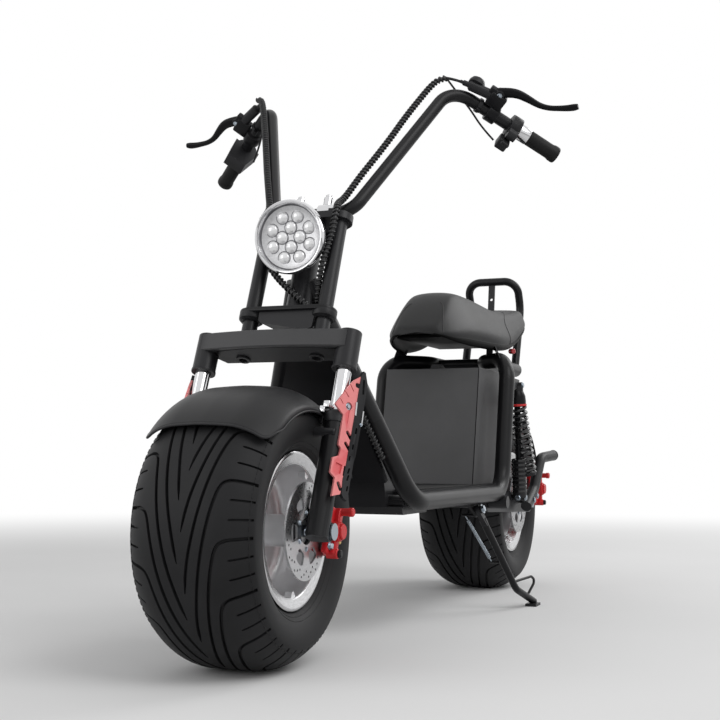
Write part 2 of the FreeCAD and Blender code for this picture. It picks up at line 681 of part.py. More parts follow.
def front_caliper():
    """A two-piston caliper behind the left fork leg, over the disc's rear edge."""
    low = float(mm.disc_y) - 14
    angle = math.radians(164)
    centre = vec(float(mm.axle_u) + 84 * math.cos(angle), 0, 84 * math.sin(angle))
    block = Part.makeBox(36, 30, 66, vec(centre.x - 18, low, centre.z - 33))
    piston = rod((centre.x + 1, low + 30, centre.z - 4), (centre.x + 1, low + 54, centre.z - 4), 17)
    hose = rod((centre.x + 4, low + 26, centre.z + 27), (centre.x + 4, low + 62, centre.z + 27), 6)
    foot = rod((centre.x + 2, low + 26, centre.z - 27), (centre.x + 2, low + 46, centre.z - 27), 6.5)
    block = block.fuse([piston, hose, foot])
    gap = Part.makeBox(37, float(mm.disc_t) + 5, 66,
                       vec(centre.x - 12, float(mm.disc_y) - float(mm.disc_t) / 2 - 2.5, centre.z - 33))
    block = block.cut(gap)
    bracket = prism([(mm.leg_u, low + 22, 74), (mm.leg_u, low + 22, 0),
                     (centre.x + 6, low + 22, centre.z - 24), (centre.x + 6, low + 22, centre.z + 24)],
                    (0, 8, 0))
    bracket = bracket.cut(rod((mm.leg_u, mm.leg_v, -30), (mm.leg_u, mm.leg_v, 100), mm.leg_r))
    bracket = bracket.cut(rod((mm.axle_u, 100, 0), (mm.axle_u, 160, 0), 17))
    bracket = bracket.cut(block)
    feature("front_caliper", block.fuse(bracket).removeSplitter(), STEER)


LOOM_R = 4.5


def bar_looms():
    """Two wrapped looms in front of the bar, down behind the headlight to the lower plate."""
    left = [(-128, 262, 1008), (-70, 210, 1016), (8, 120, 738), (46, 94, 668), (68, 76, 604),
            (57, 67, 540), (56, 58, 486), (20, 46, 446)]
    right = [(-128, -262, 1008), (-70, -210, 1016), (8, -120, 738), (46, -94, 668), (68, -76, 604),
             (56, -68, 552), (49, -58, 520), (42, -46, 496), (38, -10, 460), (24, 26, 432)]
    looms = [bent_tube(points, LOOM_R) for points in (left, right)]
    feature("bar_looms", Part.Compound(looms), STEER)


# Frame


def head_tube():
    low = float(mm.plate_low + mm.plate_t + mm.head_gap)
    high = float(mm.yoke_low - mm.plate_lip - mm.head_gap)
    tube = rod((0, 0, low), (0, 0, high), mm.head_r)
    tube = tube.cut(rod((0, 0, low), (0, 0, high), mm.stem_r + mm.bearing_gap))
    return tube


LOOP = [
    # x, y, z of each corner of the left loop, from the seat tube's end to the head tube
    (rear_x(-800), mm.seat_tube_y, mm.seat_tube_z), (rear_x(-480), mm.seat_tube_y, mm.seat_tube_z),
    (rear_x(-394), mm.frame_y, mm.seat_tube_z), (rear_x(-330), mm.frame_y, mm.rail_z),
    (front_x(317), mm.frame_y, mm.rail_z), (front_x(372), 104, lift(416)), (front_x(474), 12, lift(672))]
LOOP_BENDS = [60, 60, 75, 70, 160]
SHOCK_EAR = rear([(-370, 152, 545), (-366, 152, 505), (-478, 152, 520), (-492, 152, 542)])


def frame():
    tube = bent_tube(LOOP, mm.frame_r, LOOP_BENDS)
    post = head_tube()
    post.Placement = STEER
    outer = rod((0, 0, float(mm.plate_low)), (0, 0, float(mm.yoke_low)), mm.head_r)
    outer.Placement = STEER
    half_space = Part.makeBox(2000, 400, 1000, vec(-1000, 0, 0))
    pivot = rod((mm.pivot_x, -184, mm.pivot_z), (mm.pivot_x, 184, mm.pivot_z), mm.pivot_r)
    left = tube.cut(outer).common(half_space).cut(pivot)
    left = max(left.Solids, key=lambda solid: solid.Volume)
    left = left.fuse(prism(SHOCK_EAR, (0, 12, 0))).removeSplitter()
    feature("frame_loop_left", left)
    feature("frame_loop_right", mirrored(left))
    feature("head_tube", head_tube(), STEER)
    front_bar = rod((front_x(300), -141, mm.rail_z), (front_x(300), 141, mm.rail_z), 12)
    seat_bars = [rod((x, -60, mm.seat_tube_z), (x, 60, mm.seat_tube_z), 12)
                 for x in (rear_x(-520), rear_x(-782))]
    bars = [bar.cut([left, mirrored(left)]) for bar in [front_bar] + seat_bars]
    feature("cross_tubes", Part.Compound(bars + [pivot]))


def floor():
    tray_half = float(mm.frame_y - mm.frame_r)
    low, high = float(mm.rail_z) - 10, float(mm.box_low)
    step = high - 13
    end = front_x(286)
    for start, bottom, top in ((rear_x(-404), step, high), (rear_x(-255), low, step)):
        slab = Part.makeBox(end - start, 2 * tray_half, top - bottom, vec(start, -tray_half, bottom))
        tray = slab if bottom == step else tray.fuse(slab)
    nose = prism(front([(230, -110, 253), (322, -110, 253), (334, -110, 302), (270, -110, 302)]), (0, 220, 0))
    pan = prism(front([(150, -138, 254), (166, -138, 238), (304, -138, 238), (314, -138, 254)]), (0, 276, 0))
    tray = tray.fuse([nose, pan]).removeSplitter()
    loops = [piece.Shape for piece in PIECES if piece.Label in ("frame_loop_left", "frame_loop_right")]
    bars = [piece.Shape for piece in PIECES if piece.Label == "cross_tubes"]
    feature("floor_tray", tray.cut(loops + bars))
    panel = prism(front([(352, -120, 300), (352, 120, 300), (454, 40, 590), (454, -40, 590)]), (-14, 0, 5))
    feature("front_panel", panel.cut(loops))


def box():
    lean = math.tan(math.radians(float(mm.box_lean)))
    low, high, half = float(mm.box_low), float(mm.box_top), float(mm.box_half)
    face = rear_x(-230)
    top_face = face - lean * (high - low)
    depth = float(mm.box_depth)
    case = prism([(face, -half, low), (top_face, -half, high), (top_face - depth, -half, high),
                  (face - depth, -half, low)], (0, 2 * half, 0))
    feature("battery_box", case)
    latch = prism([(top_face - 30, -16, high), (top_face - 30, 16, high), (top_face - 30, 10, high + 12),
                   (top_face - 30, -10, high + 12)], (-26, 0, 0))
    feature("box_latch", latch)


SEAT = [
    # x, half width, half width of the top, bottom z and top z of each section
    (-166, 62, 50, 628, 650), (-205, 82, 54, 619, 688), (-240, 94, 54, 614, 720), (-276, 104, 54, 611, 744),
    (-310, 112, 58, 609, 751), (-370, 126, 74, 608, 745), (-432, 137, 88, 608, 735), (-500, 137, 94, 617, 728),
    (-560, 132, 97, 628, 729), (-620, 131, 100, 646, 734), (-670, 129, 102, 666, 742), (-720, 125, 104, 688, 750),
    (-752, 114, 96, 703, 751), (-776, 92, 76, 714, 742)]


def seat_section(x, half, top_half, low, high):
    tall = high - low
    left, right = vec(x, half * 0.94, low), vec(x, -half * 0.94, low)
    left_top, right_top = vec(x, top_half, high - tall * 0.08), vec(x, -top_half, high - tall * 0.08)
    edges = [
        Part.LineSegment(right, left).toShape(),
        Part.Arc(left, vec(x, half, low + tall * 0.3), left_top).toShape(),
        Part.Arc(left_top, vec(x, 0, high), right_top).toShape(),
        Part.Arc(right_top, vec(x, -half, low + tall * 0.3), right).toShape()]
    return Part.Wire(edges)


def seat():
    sections = [seat_section(rear_x(x), half, top, lift(low), lift(high)) for x, half, top, low, high in SEAT]
    tube_top = float(mm.seat_tube_z + mm.frame_r)
    pan_half, pan_long, pan_thick, back = 80, 385, 9, rear_x(-595)
    recess = Part.makeBox(pan_long + 5, 2 * pan_half, pan_thick + 40, vec(back - 5, -pan_half, tube_top - 40))
    feature("seat_cushion", Part.makeLoft(sections, True, True).cut(recess))
    feature("seat_pan", Part.makeBox(pan_long, 2 * pan_half, pan_thick, vec(back, -pan_half, tube_top)))


def grab_rail():
    y = float(mm.seat_tube_y)
    half = [(rear_x(-798), y, mm.seat_tube_z)] + rear([(-864, y, 768), (-826, y, 842)])
    hoop = bent_tube(half + [(x, -side, z) for x, side, z in reversed(half)], 11, [60, 38, 38, 60])
    top, foot = vec(rear_x(-826), 0, lift(842)), vec(rear_x(-790), 0, mm.seat_tube_z)
    along = (foot - top).normalize()
    strap = Part.makeBox(5, 18, (foot - top).Length, vec(-2.5, -9, 0))
    strap.Placement = FreeCAD.Placement(top, FreeCAD.Rotation(vec(0, 0, 1), along))
    spot = top + along * 52
    facing = vec(along.z, 0, -along.x)
    hole = Part.makeCylinder(4, 60, spot - facing * 30, facing)
    bars = [piece.Shape for piece in PIECES if piece.Label == "cross_tubes"]
    loops = [piece.Shape for piece in PIECES if piece.Label.startswith("frame_loop")]
    rail = hoop.cut(loops).fuse(strap.cut(bars)).cut(hole)
    feature("grab_rail", rail.removeSplitter())


def swing_arms():
    low, high = float(mm.arm_in), float(mm.arm_out)
    pivot = (float(mm.pivot_x), float(mm.pivot_z))
    arm = side_plate([(-AXLE_X, float(mm.tyre_r), 26), (pivot[0], pivot[1], 24)], low, high - low)
    arm = arm.cut(rod((pivot[0], 100, pivot[1]), (pivot[0], 200, pivot[1]), mm.pivot_r))
    arm = arm.cut(rod((-AXLE_X, 100, mm.tyre_r), (-AXLE_X, 200, mm.tyre_r), mm.axle_r))
    feature("swing_arms", both_sides(arm))
    axle = rod((-AXLE_X, -high - 4, mm.tyre_r), (-AXLE_X, high + 4, mm.tyre_r), mm.axle_r)
    nuts = [rod((-AXLE_X, side * high, mm.tyre_r), (-AXLE_X, side * (high + 10), mm.tyre_r), 15)
            for side in (1, -1)]
    feature("rear_axle", axle.fuse(nuts).removeSplitter())


SHOCK_TOP, SHOCK_LOW = rear([(-486, 158, 528), (-512, 158, 246)])


def shocks():
    top, low = vec(*SHOCK_TOP), vec(*SHOCK_LOW)
    along = (top - low).normalize()
    length = (top - low).Length
    parts = [
        # distance up from the low eye, length, radius
        (0, 96, 17), (96, length - 150, 8), (length - 54, 54, 16)]
    body = None
    for start, span, radius in parts:
        piece = Part.makeCylinder(radius, span, low + along * start, along)
        body = piece if body is None else body.fuse(piece)
    pins = [rod((low.x, float(mm.arm_out), low.z), (low.x, 172, low.z), 8),
            rod((top.x, 164, top.z), (top.x, 172, top.z), 8)]
    body = body.fuse(pins)
    body = body.cut(prism(SHOCK_EAR, (0, 12, 0)))
    feature("shock_bodies", both_sides(body.Solids[0]))
    start, turns, pitch = 78, 9, 15
    profile = []
    radius = float(mm.spring_r)
    for turn in range(turns):
        profile.append(vec(radius - 6, 0, start + turn * pitch))
        profile.append(vec(radius, 0, start + turn * pitch + pitch / 2))
    profile.append(vec(radius - 6, 0, start + turns * pitch))
    profile += [vec(17.2, 0, start + turns * pitch), vec(17.2, 0, start)]
    coil = Part.Face(Part.makePolygon(profile + profile[:1])).revolve(vec(0, 0, 0), vec(0, 0, 1), 360)
    coil.Placement = FreeCAD.Placement(low, FreeCAD.Rotation(vec(0, 0, 1), along))
    feature("shock_springs", both_sides(coil))


def peg_bars():
    bar = bent_tube(rear([(-560, 162, 222), (-640, 162, 262), (-720, 162, 345), (-806, 176, 352)]), 14, [50, 50])
    face = float(mm.arm_out)
    bosses = [rod((x, face, z), (x, 162, z), 8) for x, _, z in rear([(-590, 0, 237), (-622, 0, 247)])]
    feature("peg_bars", both_sides(bar.fuse(bosses).removeSplitter()))


def rear_fender():
    body = new_body("rear_fender")
    section = new_sketch(body, "XY_Plane", "rear_fender_section")
    inside, outside = mm.rear_fender_r, mm.rear_fender_r + mm.fender_t
    half = mm.arm_in - 2.5
    outline(section, [
        (inside - 26, -half + 3.5), (inside - 9, -92, "arc"), (inside - 2.5, -50),
        (inside, 0, "arc"), (inside - 2.5, 50), (inside - 9, 92, "arc"), (inside - 26, half - 3.5),
        (outside - 28, half), (outside - 9, 94.5, "arc"), (outside - 2.5, 51),
        (outside, 0, "arc"), (outside - 2.5, -51), (outside - 9, -94.5, "arc"), (outside - 28, -half)])
    revolve(body, section, angle=92)
    document.recompute()
    turn = FreeCAD.Placement(vec(0, 0, 0), FreeCAD.Rotation(vec(0, 1, 0), -152))
    body.Placement = REAR_AXLE.multiply(turn)
    document.recompute()
    foot = lift(240)
    skirt = float(mm.tyre_r + mm.rear_fender_r) - 16.5
    stay = prism([(rear_x(-650), half, foot), (rear_x(-674), half, foot), (rear_x(-706), half, skirt),
                  (rear_x(-694), half, skirt)], (0, 2.5, 0))
    stay = stay.fuse(prism([(rear_x(-704), half - 6, skirt - 20), (rear_x(-691), half - 6, skirt - 20),
                            (rear_x(-694), half - 6, skirt), (rear_x(-706), half - 6, skirt)], (0, 8, 0)))
    feature("rear_fender", body.Shape.fuse([stay, mirrored(stay)]).removeSplitter())
    lamp = Part.makeBox(16, 60, 24, vec(rear_x(-810), -30, lift(586)))
    bars = [piece.Shape for piece in PIECES if piece.Label in ("cross_tubes", "grab_rail")]
    feature("tail_lamp", lamp.cut(bars))


def rear_caliper():
    low = float(mm.disc_y) - 12
    bottom = lift(252)
    block = Part.makeBox(44, 30, 60, vec(rear_x(-800), low, bottom))
    gap = Part.makeBox(45, float(mm.disc_t) + 5, 60,
                       vec(rear_x(-790), float(mm.disc_y) - float(mm.disc_t) / 2 - 2.5, bottom))
    x = rear_x(-784)
    piston = rod((x, low + 30, bottom + 28), (x, low + 56, bottom + 28), 16)
    hose = rod((x - 2, low + 20, bottom + 54), (x - 2, low + 66, bottom + 54), 5.5)
    bracket = prism(rear([(-780, low + 23, 256), (-780, low + 23, 290), (-700, low + 23, 250),
                          (-712, low + 23, 232)]), (0, 7, 0))
    arms = [piece for piece in PIECES if piece.Label == "swing_arms"][0].Shape
    feature("rear_caliper", block.cut(gap).fuse([bracket, piston, hose]).cut(arms).removeSplitter())


# Side stand

STAND_PIVOT = vec(rear_x(-160), 152, lift(228))
STAND_KNEE = vec(rear_x(-250), 215, 46)
STAND_FOOT = vec(rear_x(-343), 234, 9)
STAND_AXIS = vec(0.02, 0.94, 0.35).normalize()
STAND_R = 8
STAND_HOOK = STAND_PIVOT + (STAND_KNEE - STAND_PIVOT) * 0.66
SPRING_TOP, SPRING_LOW = STAND_PIVOT + vec(5, -30, -11), STAND_HOOK + vec(-5, -28, 0)


def side_stand():
    """A bent leg on a slanted hinge under the left rail, with its bracket and return spring."""
    along = (STAND_KNEE - STAND_PIVOT).normalize()
    across = STAND_AXIS.cross(along).normalize()
    place = FreeCAD.Placement(STAND_PIVOT, FreeCAD.Rotation(along, across, STAND_AXIS, "ZXY"))
    bolt_r = 5
    plate = prism(rear([(-185, 136, 256), (-130, 136, 256), (-136, 136, 230), (-176, 136, 230)]), (0, 5, 0))
    pin = rod(tuple(SPRING_TOP - vec(0, 6, 0)), tuple(SPRING_TOP + vec(0, 26, 0)), 3)
    loop = [piece.Shape for piece in PIECES if piece.Label in ("frame_loop_left", "floor_tray")]
    ear = hull_plate([(0, 0, 13), (-30, 14, 9), (-30, -14, 9)], -11, 6)
    ear.Placement = place
    bolt = Part.makeCylinder(bolt_r, 22, vec(0, 0, -11), vec(0, 0, 1))
    bolt = bolt.fuse(Part.makeCylinder(9, 5, vec(0, 0, 6), vec(0, 0, 1)))
    bolt.Placement = place
    feature("stand_bracket", ear.fuse([plate, bolt, pin]).cut(loop).removeSplitter())
    eye = hull_plate([(0, 0, 12), (34, 0, 9)], -4.7, 10)
    eye = eye.cut(Part.makeCylinder(bolt_r + float(mm.bearing_gap), 30, vec(0, 0, -15), vec(0, 0, 1)))
    eye.Placement = place
    leg = bent_tube([tuple(STAND_PIVOT + along * 24), tuple(STAND_KNEE), tuple(STAND_FOOT)], STAND_R, [30])
    wire = [(rear_x(x), y, z) for x, y, z in ((-242, 210, 62), (-322, 233, 69), (-347, 237, 58), (-304, 228, 26))]
    tang = bent_tube(wire, 3, [9, 9])
    hook = rod(tuple(STAND_HOOK), tuple(STAND_HOOK + vec(-6, -33, 0)), 3)
    foot = Part.makeBox(44, 26, 6, vec(STAND_FOOT.x - 12, STAND_FOOT.y - 13, 0))
    ground = Part.makeBox(200, 200, 40, vec(STAND_FOOT.x - 100, STAND_FOOT.y - 100, -40))
    feature("side_stand", leg.fuse([eye, tang, hook, foot]).cut(ground).removeSplitter())
    down = (SPRING_LOW - SPRING_TOP).normalize()
    spring = Part.makeCylinder(5, (SPRING_LOW - SPRING_TOP).Length - 16.6, SPRING_TOP + down * 12, down)
    feature("stand_spring", spring)


def frame_loom():
    points = [(448.4, 50, 545), (427.4, 71, 488), (401.4, 95, 420), (375.4, 123, 345)]
    feature("frame_loom", bent_tube(front(points), LOOM_R))


front_wheel()
rear_wheel()
yokes()
fork_crown()
fork_legs()
front_fender()
fork_guards()
handlebar()
controls()
headlight()
front_caliper()
bar_looms()
frame()
floor()
box()
seat()
grab_rail()
swing_arms()
shocks()
peg_bars()
rear_fender()
rear_caliper()
side_stand()
frame_loom()

document.recompute()
for obj in document.Objects:
    if "Invalid" in obj.State or "Error" in obj.State:
        raise RuntimeError("%s is %s" % (obj.Label, obj.State))
os.makedirs("parts", exist_ok=True)
for piece in PIECES:
    if piece.Shape.isNull() or not piece.Shape.isValid():
        raise RuntimeError("%s has no valid shape" % piece.Label)
    piece.Shape.exportStep("parts/%s.step" % piece.Label)
    print(piece.Label, len(piece.Shape.Solids), round(piece.Shape.Volume))
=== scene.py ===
import json
import math

import bmesh
import bpy
import numpy as np
from mathutils import Matrix, Vector
from mathutils.bvhtree import BVHTree


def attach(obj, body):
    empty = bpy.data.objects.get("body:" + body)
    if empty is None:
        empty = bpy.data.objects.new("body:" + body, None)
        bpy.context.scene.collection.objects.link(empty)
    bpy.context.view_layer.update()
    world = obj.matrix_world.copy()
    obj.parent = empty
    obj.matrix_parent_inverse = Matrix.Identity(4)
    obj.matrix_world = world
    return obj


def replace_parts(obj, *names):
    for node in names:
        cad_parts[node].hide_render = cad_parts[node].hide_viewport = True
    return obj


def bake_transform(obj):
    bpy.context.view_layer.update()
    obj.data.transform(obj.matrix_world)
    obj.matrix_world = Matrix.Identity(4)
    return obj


# Looks of the fat-tyre electric scooter. Lengths are in millimetres in the tables and helpers,
# and metres in the meshes. The fork's own frame has w up the steering axis and u forwards.

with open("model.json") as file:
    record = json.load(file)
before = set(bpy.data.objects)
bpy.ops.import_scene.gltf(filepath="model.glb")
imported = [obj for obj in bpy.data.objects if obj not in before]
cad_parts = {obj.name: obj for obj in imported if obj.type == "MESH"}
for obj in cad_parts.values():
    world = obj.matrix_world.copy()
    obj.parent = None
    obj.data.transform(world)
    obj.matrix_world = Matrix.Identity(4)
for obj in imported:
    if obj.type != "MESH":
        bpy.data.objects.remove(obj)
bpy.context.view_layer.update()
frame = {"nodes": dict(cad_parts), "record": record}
nodes = frame["nodes"]

RAKE = math.radians(22)
AXLE_X, AXLE_Z = 690.5, 228.5
AXLE_U = 36
STEER = (Matrix.Translation((AXLE_X - AXLE_U * math.cos(RAKE), 0, AXLE_Z - AXLE_U * math.sin(RAKE)))
         @ Matrix.Rotation(-RAKE, 4, "Y"))
HERE = Matrix.Identity(4)
FRONT = Matrix.Translation((AXLE_X, 0, AXLE_Z))
REAR = Matrix.Translation((-AXLE_X, 0, AXLE_Z))
MM = 0.001


# Materials


class Nodes:
    """A material's node tree with short calls."""

    def __init__(self, name):
        self.material = bpy.data.materials.new(name)
        self.material.use_nodes = True
        self.tree = self.material.node_tree
        self.shader = self.tree.nodes["Principled BSDF"]
        self.place = self.add("ShaderNodeTexCoord").outputs["Object"]

    def feed(self, socket, value):
        """Links an output to a socket, or gives the socket a value."""
        if isinstance(value, bpy.types.NodeSocket):
            self.tree.links.new(value, socket)
        elif socket.type == "RGBA":
            socket.default_value = (*value, 1)
        else:
            socket.default_value = value

    def add(self, kind, inputs=(), **values):
        """A new node with its settings, and its inputs fed from a table."""
        node = self.tree.nodes.new(kind)
        for key, value in values.items():
            setattr(node, key, value)
        for key, value in dict(inputs).items():
            self.feed(node.inputs[key], value)
        return node

    def noise(self, scale, detail=3.0, stretch=None):
        place = self.place
        if stretch:
            place = self.add("ShaderNodeMapping", {"Scale": stretch, "Vector": place}).outputs["Vector"]
        inputs = {"Scale": scale, "Detail": detail, "Vector": place}
        return self.add("ShaderNodeTexNoise", inputs).outputs["Fac"]

    def ramp(self, source, *stops):
        """Maps a value through two (position, colour) stops."""
        node = self.add("ShaderNodeValToRGB", {"Fac": source})
        for element, (position, colour) in zip(node.color_ramp.elements, stops):
            element.position = position
            element.color = (*colour, 1)
        return node.outputs["Color"]

    def span(self, source, low, high):
        inputs = {"To Min": low, "To Max": high, "Value": source}
        return self.add("ShaderNodeMapRange", inputs).outputs["Result"]

    def mix(self, factor, first, second):
        return self.add("ShaderNodeMix", {0: factor, 6: first, 7: second}, data_type="RGBA").outputs[2]

    def bump(self, height, strength, distance):
        inputs = {"Strength": strength, "Distance": distance, "Height": height}
        self.set(Normal=self.add("ShaderNodeBump", inputs).outputs["Normal"])

    def set(self, **values):
        """Feeds the shader's sockets by name."""
        for name, value in values.items():
            self.feed(self.shader.inputs[name.replace("_", " ")], value)


def shade(colour, factor):
    return tuple(channel * factor for channel in colour)


def surface(name, colour, rough=(0.4, 0.5), metal=0.0, coat=0.0, grain=900, bump=0.15, depth=0.0002,
            variation=0.12, wear=None, shine=0.22):
    """A surface with cloudy colour, uneven gloss, fine grain and lighter worn edges."""
    made = Nodes(name)
    cloud = made.noise(9.0, 4.0)
    fine = made.noise(grain, 2.0)
    base = made.ramp(cloud, (0.3, shade(colour, 1 - variation)), (0.7, shade(colour, 1 + variation)))
    if wear:
        edge = made.add("ShaderNodeNewGeometry").outputs["Pointiness"]
        mask = made.ramp(edge, (0.53, (0, 0, 0)), (0.60, (1, 1, 1)))
        base = made.mix(mask, base, wear)
    gloss = made.add("ShaderNodeMath", {0: made.span(cloud, *rough), 1: made.span(fine, -0.05, 0.05)},
                     operation="ADD")
    made.set(Base_Color=base, Roughness=gloss.outputs[0], Metallic=metal, Coat_Weight=coat,
             Specular_IOR_Level=shine)
    made.bump(fine, bump, depth)
    return made.material


def seat_leather():
    """Grained black leather."""
    made = Nodes("seat_leather")
    cell = made.add("ShaderNodeTexVoronoi", {"Scale": 420, "Vector": made.place}, feature="DISTANCE_TO_EDGE")
    cloud = made.noise(7.0, 4.0)
    crease = made.ramp(cell.outputs["Distance"], (0.0, (0, 0, 0)), (0.22, (1, 1, 1)))
    base = made.ramp(cloud, (0.3, (0.010, 0.010, 0.011)), (0.7, (0.016, 0.016, 0.017)))
    made.set(Base_Color=made.mix(crease, (0.007, 0.007, 0.007), base), Roughness=made.span(cloud, 0.42, 0.54),
             Specular_IOR_Level=0.28)
    made.bump(crease, 0.25, 0.0003)
    return made.material


def rubber(name, colour, rough):
    """Rubber with a faint bloom and moulding grain."""
    made = Nodes(name)
    cloud = made.noise(14.0, 5.0)
    fine = made.noise(1400.0, 2.0)
    base = made.ramp(cloud, (0.3, shade(colour, 0.8)), (0.72, shade(colour, 1.25)))
    made.set(Base_Color=base, Roughness=made.span(cloud, rough, rough + 0.14), Specular_IOR_Level=0.2)
    made.bump(fine, 0.2, 0.00015)
    return made.material


def brushed(name, colour, rough, axis):
    """Metal turned or brushed along one direction."""
    made = Nodes(name)
    lines = made.noise(260.0, 4.0, axis)
    cloud = made.noise(11.0, 3.0)
    base = made.ramp(lines, (0.25, shade(colour, 0.82)), (0.75, shade(colour, 1.12)))
    made.set(Base_Color=base, Roughness=made.span(cloud, rough, rough + 0.12), Metallic=1.0)
    made.bump(lines, 0.12, 0.0001)
    return made.material


def lens_glass():
    made = Nodes("lamp_lens")
    cloud = made.noise(30.0, 2.0)
    base = made.ramp(cloud, (0.3, (0.86, 0.86, 0.87)), (0.7, (0.95, 0.95, 0.96)))
    made.set(Base_Color=base, Roughness=made.span(cloud, 0.06, 0.12), Metallic=0.25, Coat_Weight=1.0, IOR=1.5)
    return made.material


LOOKS = {
    # by the record's material slot
    "tyre_rubber": rubber("tyre_rubber", (0.013, 0.013, 0.014), 0.48),
    "grip_rubber": rubber("grip_rubber", (0.008, 0.008, 0.008), 0.44),
    "rim_metal": brushed("rim_metal", (0.62, 0.62, 0.63), 0.16, (0.4, 6, 0.4)),
    "cast_metal": surface("cast_metal", (0.78, 0.78, 0.79), (0.32, 0.44), 0.85, grain=500, bump=0.3,
                          shine=0.5),
    # A dark grey for the rings painted as shade round the headlight's lenses and inside its reflector's edge.
    "lamp_well": surface("lamp_well", (0.16, 0.16, 0.17), (0.3, 0.4), 0.8, bump=0.05),
    "motor_grey": surface("motor_grey", (0.05, 0.05, 0.055), (0.35, 0.5), 0.6, bump=0.2),
    "disc_steel": brushed("disc_steel", (0.55, 0.55, 0.56), 0.22, (2, 0.2, 2)),
    "black_paint": surface("black_paint", (0.008, 0.008, 0.009), (0.30, 0.40), bump=0.06, depth=0.0001,
                           wear=(0.022, 0.022, 0.024)),
    "crown_paint": surface("crown_paint", (0.082, 0.082, 0.084), (0.34, 0.44), bump=0.06, depth=0.0001,
                           wear=(0.045, 0.045, 0.047)),
    "chrome_plate": surface("chrome_plate", (0.66, 0.66, 0.67), (0.04, 0.10), 1.0, bump=0.005,
                            variation=0.05),
    "bolt_steel": surface("bolt_steel", (0.42, 0.47, 0.52), (0.16, 0.3), 1.0, bump=0.05, variation=0.15),
    "brass_metal": surface("brass_metal", (0.60, 0.42, 0.16), (0.2, 0.32), 1.0, bump=0.05),
    "black_plastic": surface("black_plastic", (0.016, 0.016, 0.017), (0.38, 0.5), grain=1500, bump=0.2,
                             wear=(0.022, 0.022, 0.024)),
    "black_anodised": surface("black_anodised", (0.006, 0.006, 0.007), (0.24, 0.34), 0.1, shine=0.12,
                              wear=(0.03, 0.03, 0.032)),
    # Matt black of the seat's underside, also used for the dark strips painted as shade lines down the battery
    # box's corners.
    "seat_black": surface("seat_black", (0.004, 0.004, 0.004), (0.4, 0.5), shine=0.05),
    "coral_anodised": surface("coral_anodised", (0.76, 0.15, 0.16), (0.35, 0.46), 0.2, bump=0.1,
                              wear=(0.80, 0.26, 0.26)),
    "lamp_chrome": brushed("lamp_chrome", (0.53, 0.53, 0.54), 0.34, (1, 1, 1)),
    "lamp_lens": lens_glass(),
    "red_paint": surface("red_paint", (0.56, 0.004, 0.012), (0.2, 0.3), 0.05, coat=0.12, bump=0.06,
                         shine=0.14, wear=(0.62, 0.05, 0.05)),
    "loom_plastic": surface("loom_plastic", (0.016, 0.016, 0.017), (0.24, 0.34), shine=0.4),
    "box_paint": surface("box_paint", (0.082, 0.082, 0.084), (0.46, 0.56), grain=700, bump=0.3,
                         wear=(0.065, 0.065, 0.067)),
    "seat_leather": seat_leather(),
    "spring_steel": surface("spring_steel", (0.008, 0.008, 0.009), (0.06, 0.12), 0.2, coat=1.0, bump=0.02),
    "red_lens": surface("red_lens", (0.42, 0.01, 0.015), (0.1, 0.18), coat=0.8, bump=0.05),
}
for part in frame["record"]["subparts"]:
    node = nodes[part["node"]]
    node.data.materials.clear()
    node.data.materials.append(LOOKS[part["material_slot"]])


# Mesh helpers


def piece(name, mesh, slot, body, place=HERE, angle=35):
    """An object from a bmesh or mesh in mm, placed, given its look, and riding on its body."""
    if isinstance(mesh, bmesh.types.BMesh):
        made = bpy.data.meshes.new(name)
        bmesh.ops.recalc_face_normals(mesh, faces=mesh.faces)
        mesh.to_mesh(made)
        mesh.free()
        mesh = made
    mesh.transform(Matrix.Scale(MM, 4) @ place)
    for face in mesh.polygons:
        face.use_smooth = True
    mesh.set_sharp_from_angle(angle=math.radians(angle))
    obj = bpy.data.objects.new(name, mesh)
    bpy.context.scene.collection.objects.link(obj)
    mesh.materials.clear()
    mesh.materials.append(LOOKS[slot])
    if body:
        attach(obj, body)
    return obj


def grid_faces(made, rows, closed=True, loop=False):
    """Skins rows of vertices, closing each row and, for a loop, the last row to the first."""
    for first, second in zip(rows, rows[1:] + rows[:1] if loop else rows[1:]):
        count = len(first)
        for index in range(count if closed else count - 1):
            after = (index + 1) % count
            made.faces.new((first[index], first[after], second[after], second[index]))


def capped(into, rows):
    """Joins rows of vertices and closes both ends."""
    grid_faces(into, rows)
    into.faces.new(rows[0][::-1])
    into.faces.new(rows[-1])


def prism(into, low, high):
    """A closed piece between two outlines of as many points."""
    capped(into, [[into.verts.new(spot) for spot in outline] for outline in (low, high)])


def merge(into, made):
    """Adds one bmesh to another and frees it."""
    mesh = bpy.data.meshes.new("merged")
    made.to_mesh(mesh)
    made.free()
    into.from_mesh(mesh)
    bpy.data.meshes.remove(mesh)


def pieces(body, place, *rows):
    """Pieces of one body, from rows of name, mesh and look."""
    for name, mesh, look in rows:
        piece(name, mesh, look, body, place)


def lathe(profile, count=96, into=None):
    """A surface of revolution about Y from (radius, y) points, with its ends joined."""
    made = into or bmesh.new()
    rows = []
    for step in range(count):
        angle = 2 * math.pi * step / count
        rows.append([made.verts.new((r * math.cos(angle), y, r * math.sin(angle))) for r, y in profile])
    grid_faces(made, rows, loop=True)
    return made


def arc(start, middle, stop, count):
    """Points on the arc from start through middle to stop, without stop."""
    (ax, ay), (bx, by), (cx, cy) = start, middle, stop
    d = 2 * (ax * (by - cy) + bx * (cy - ay) + cx * (ay - by))
    aa, bb, cc = ax * ax + ay * ay, bx * bx + by * by, cx * cx + cy * cy
    ux = (aa * (by - cy) + bb * (cy - ay) + cc * (ay - by)) / d
    uy = (aa * (cx - bx) + bb * (ax - cx) + cc * (bx - ax)) / d
    radius = math.hypot(ax - ux, ay - uy)
    first, mid, last = (math.atan2(y - uy, x - ux) for x, y in (start, middle, stop))
    turn = (last - first) % (2 * math.pi)
    if (mid - first) % (2 * math.pi) > turn:
        turn -= 2 * math.pi
    return [(ux + radius * math.cos(first + turn * k / count),
             uy + radius * math.sin(first + turn * k / count))
            for k in range(count)]


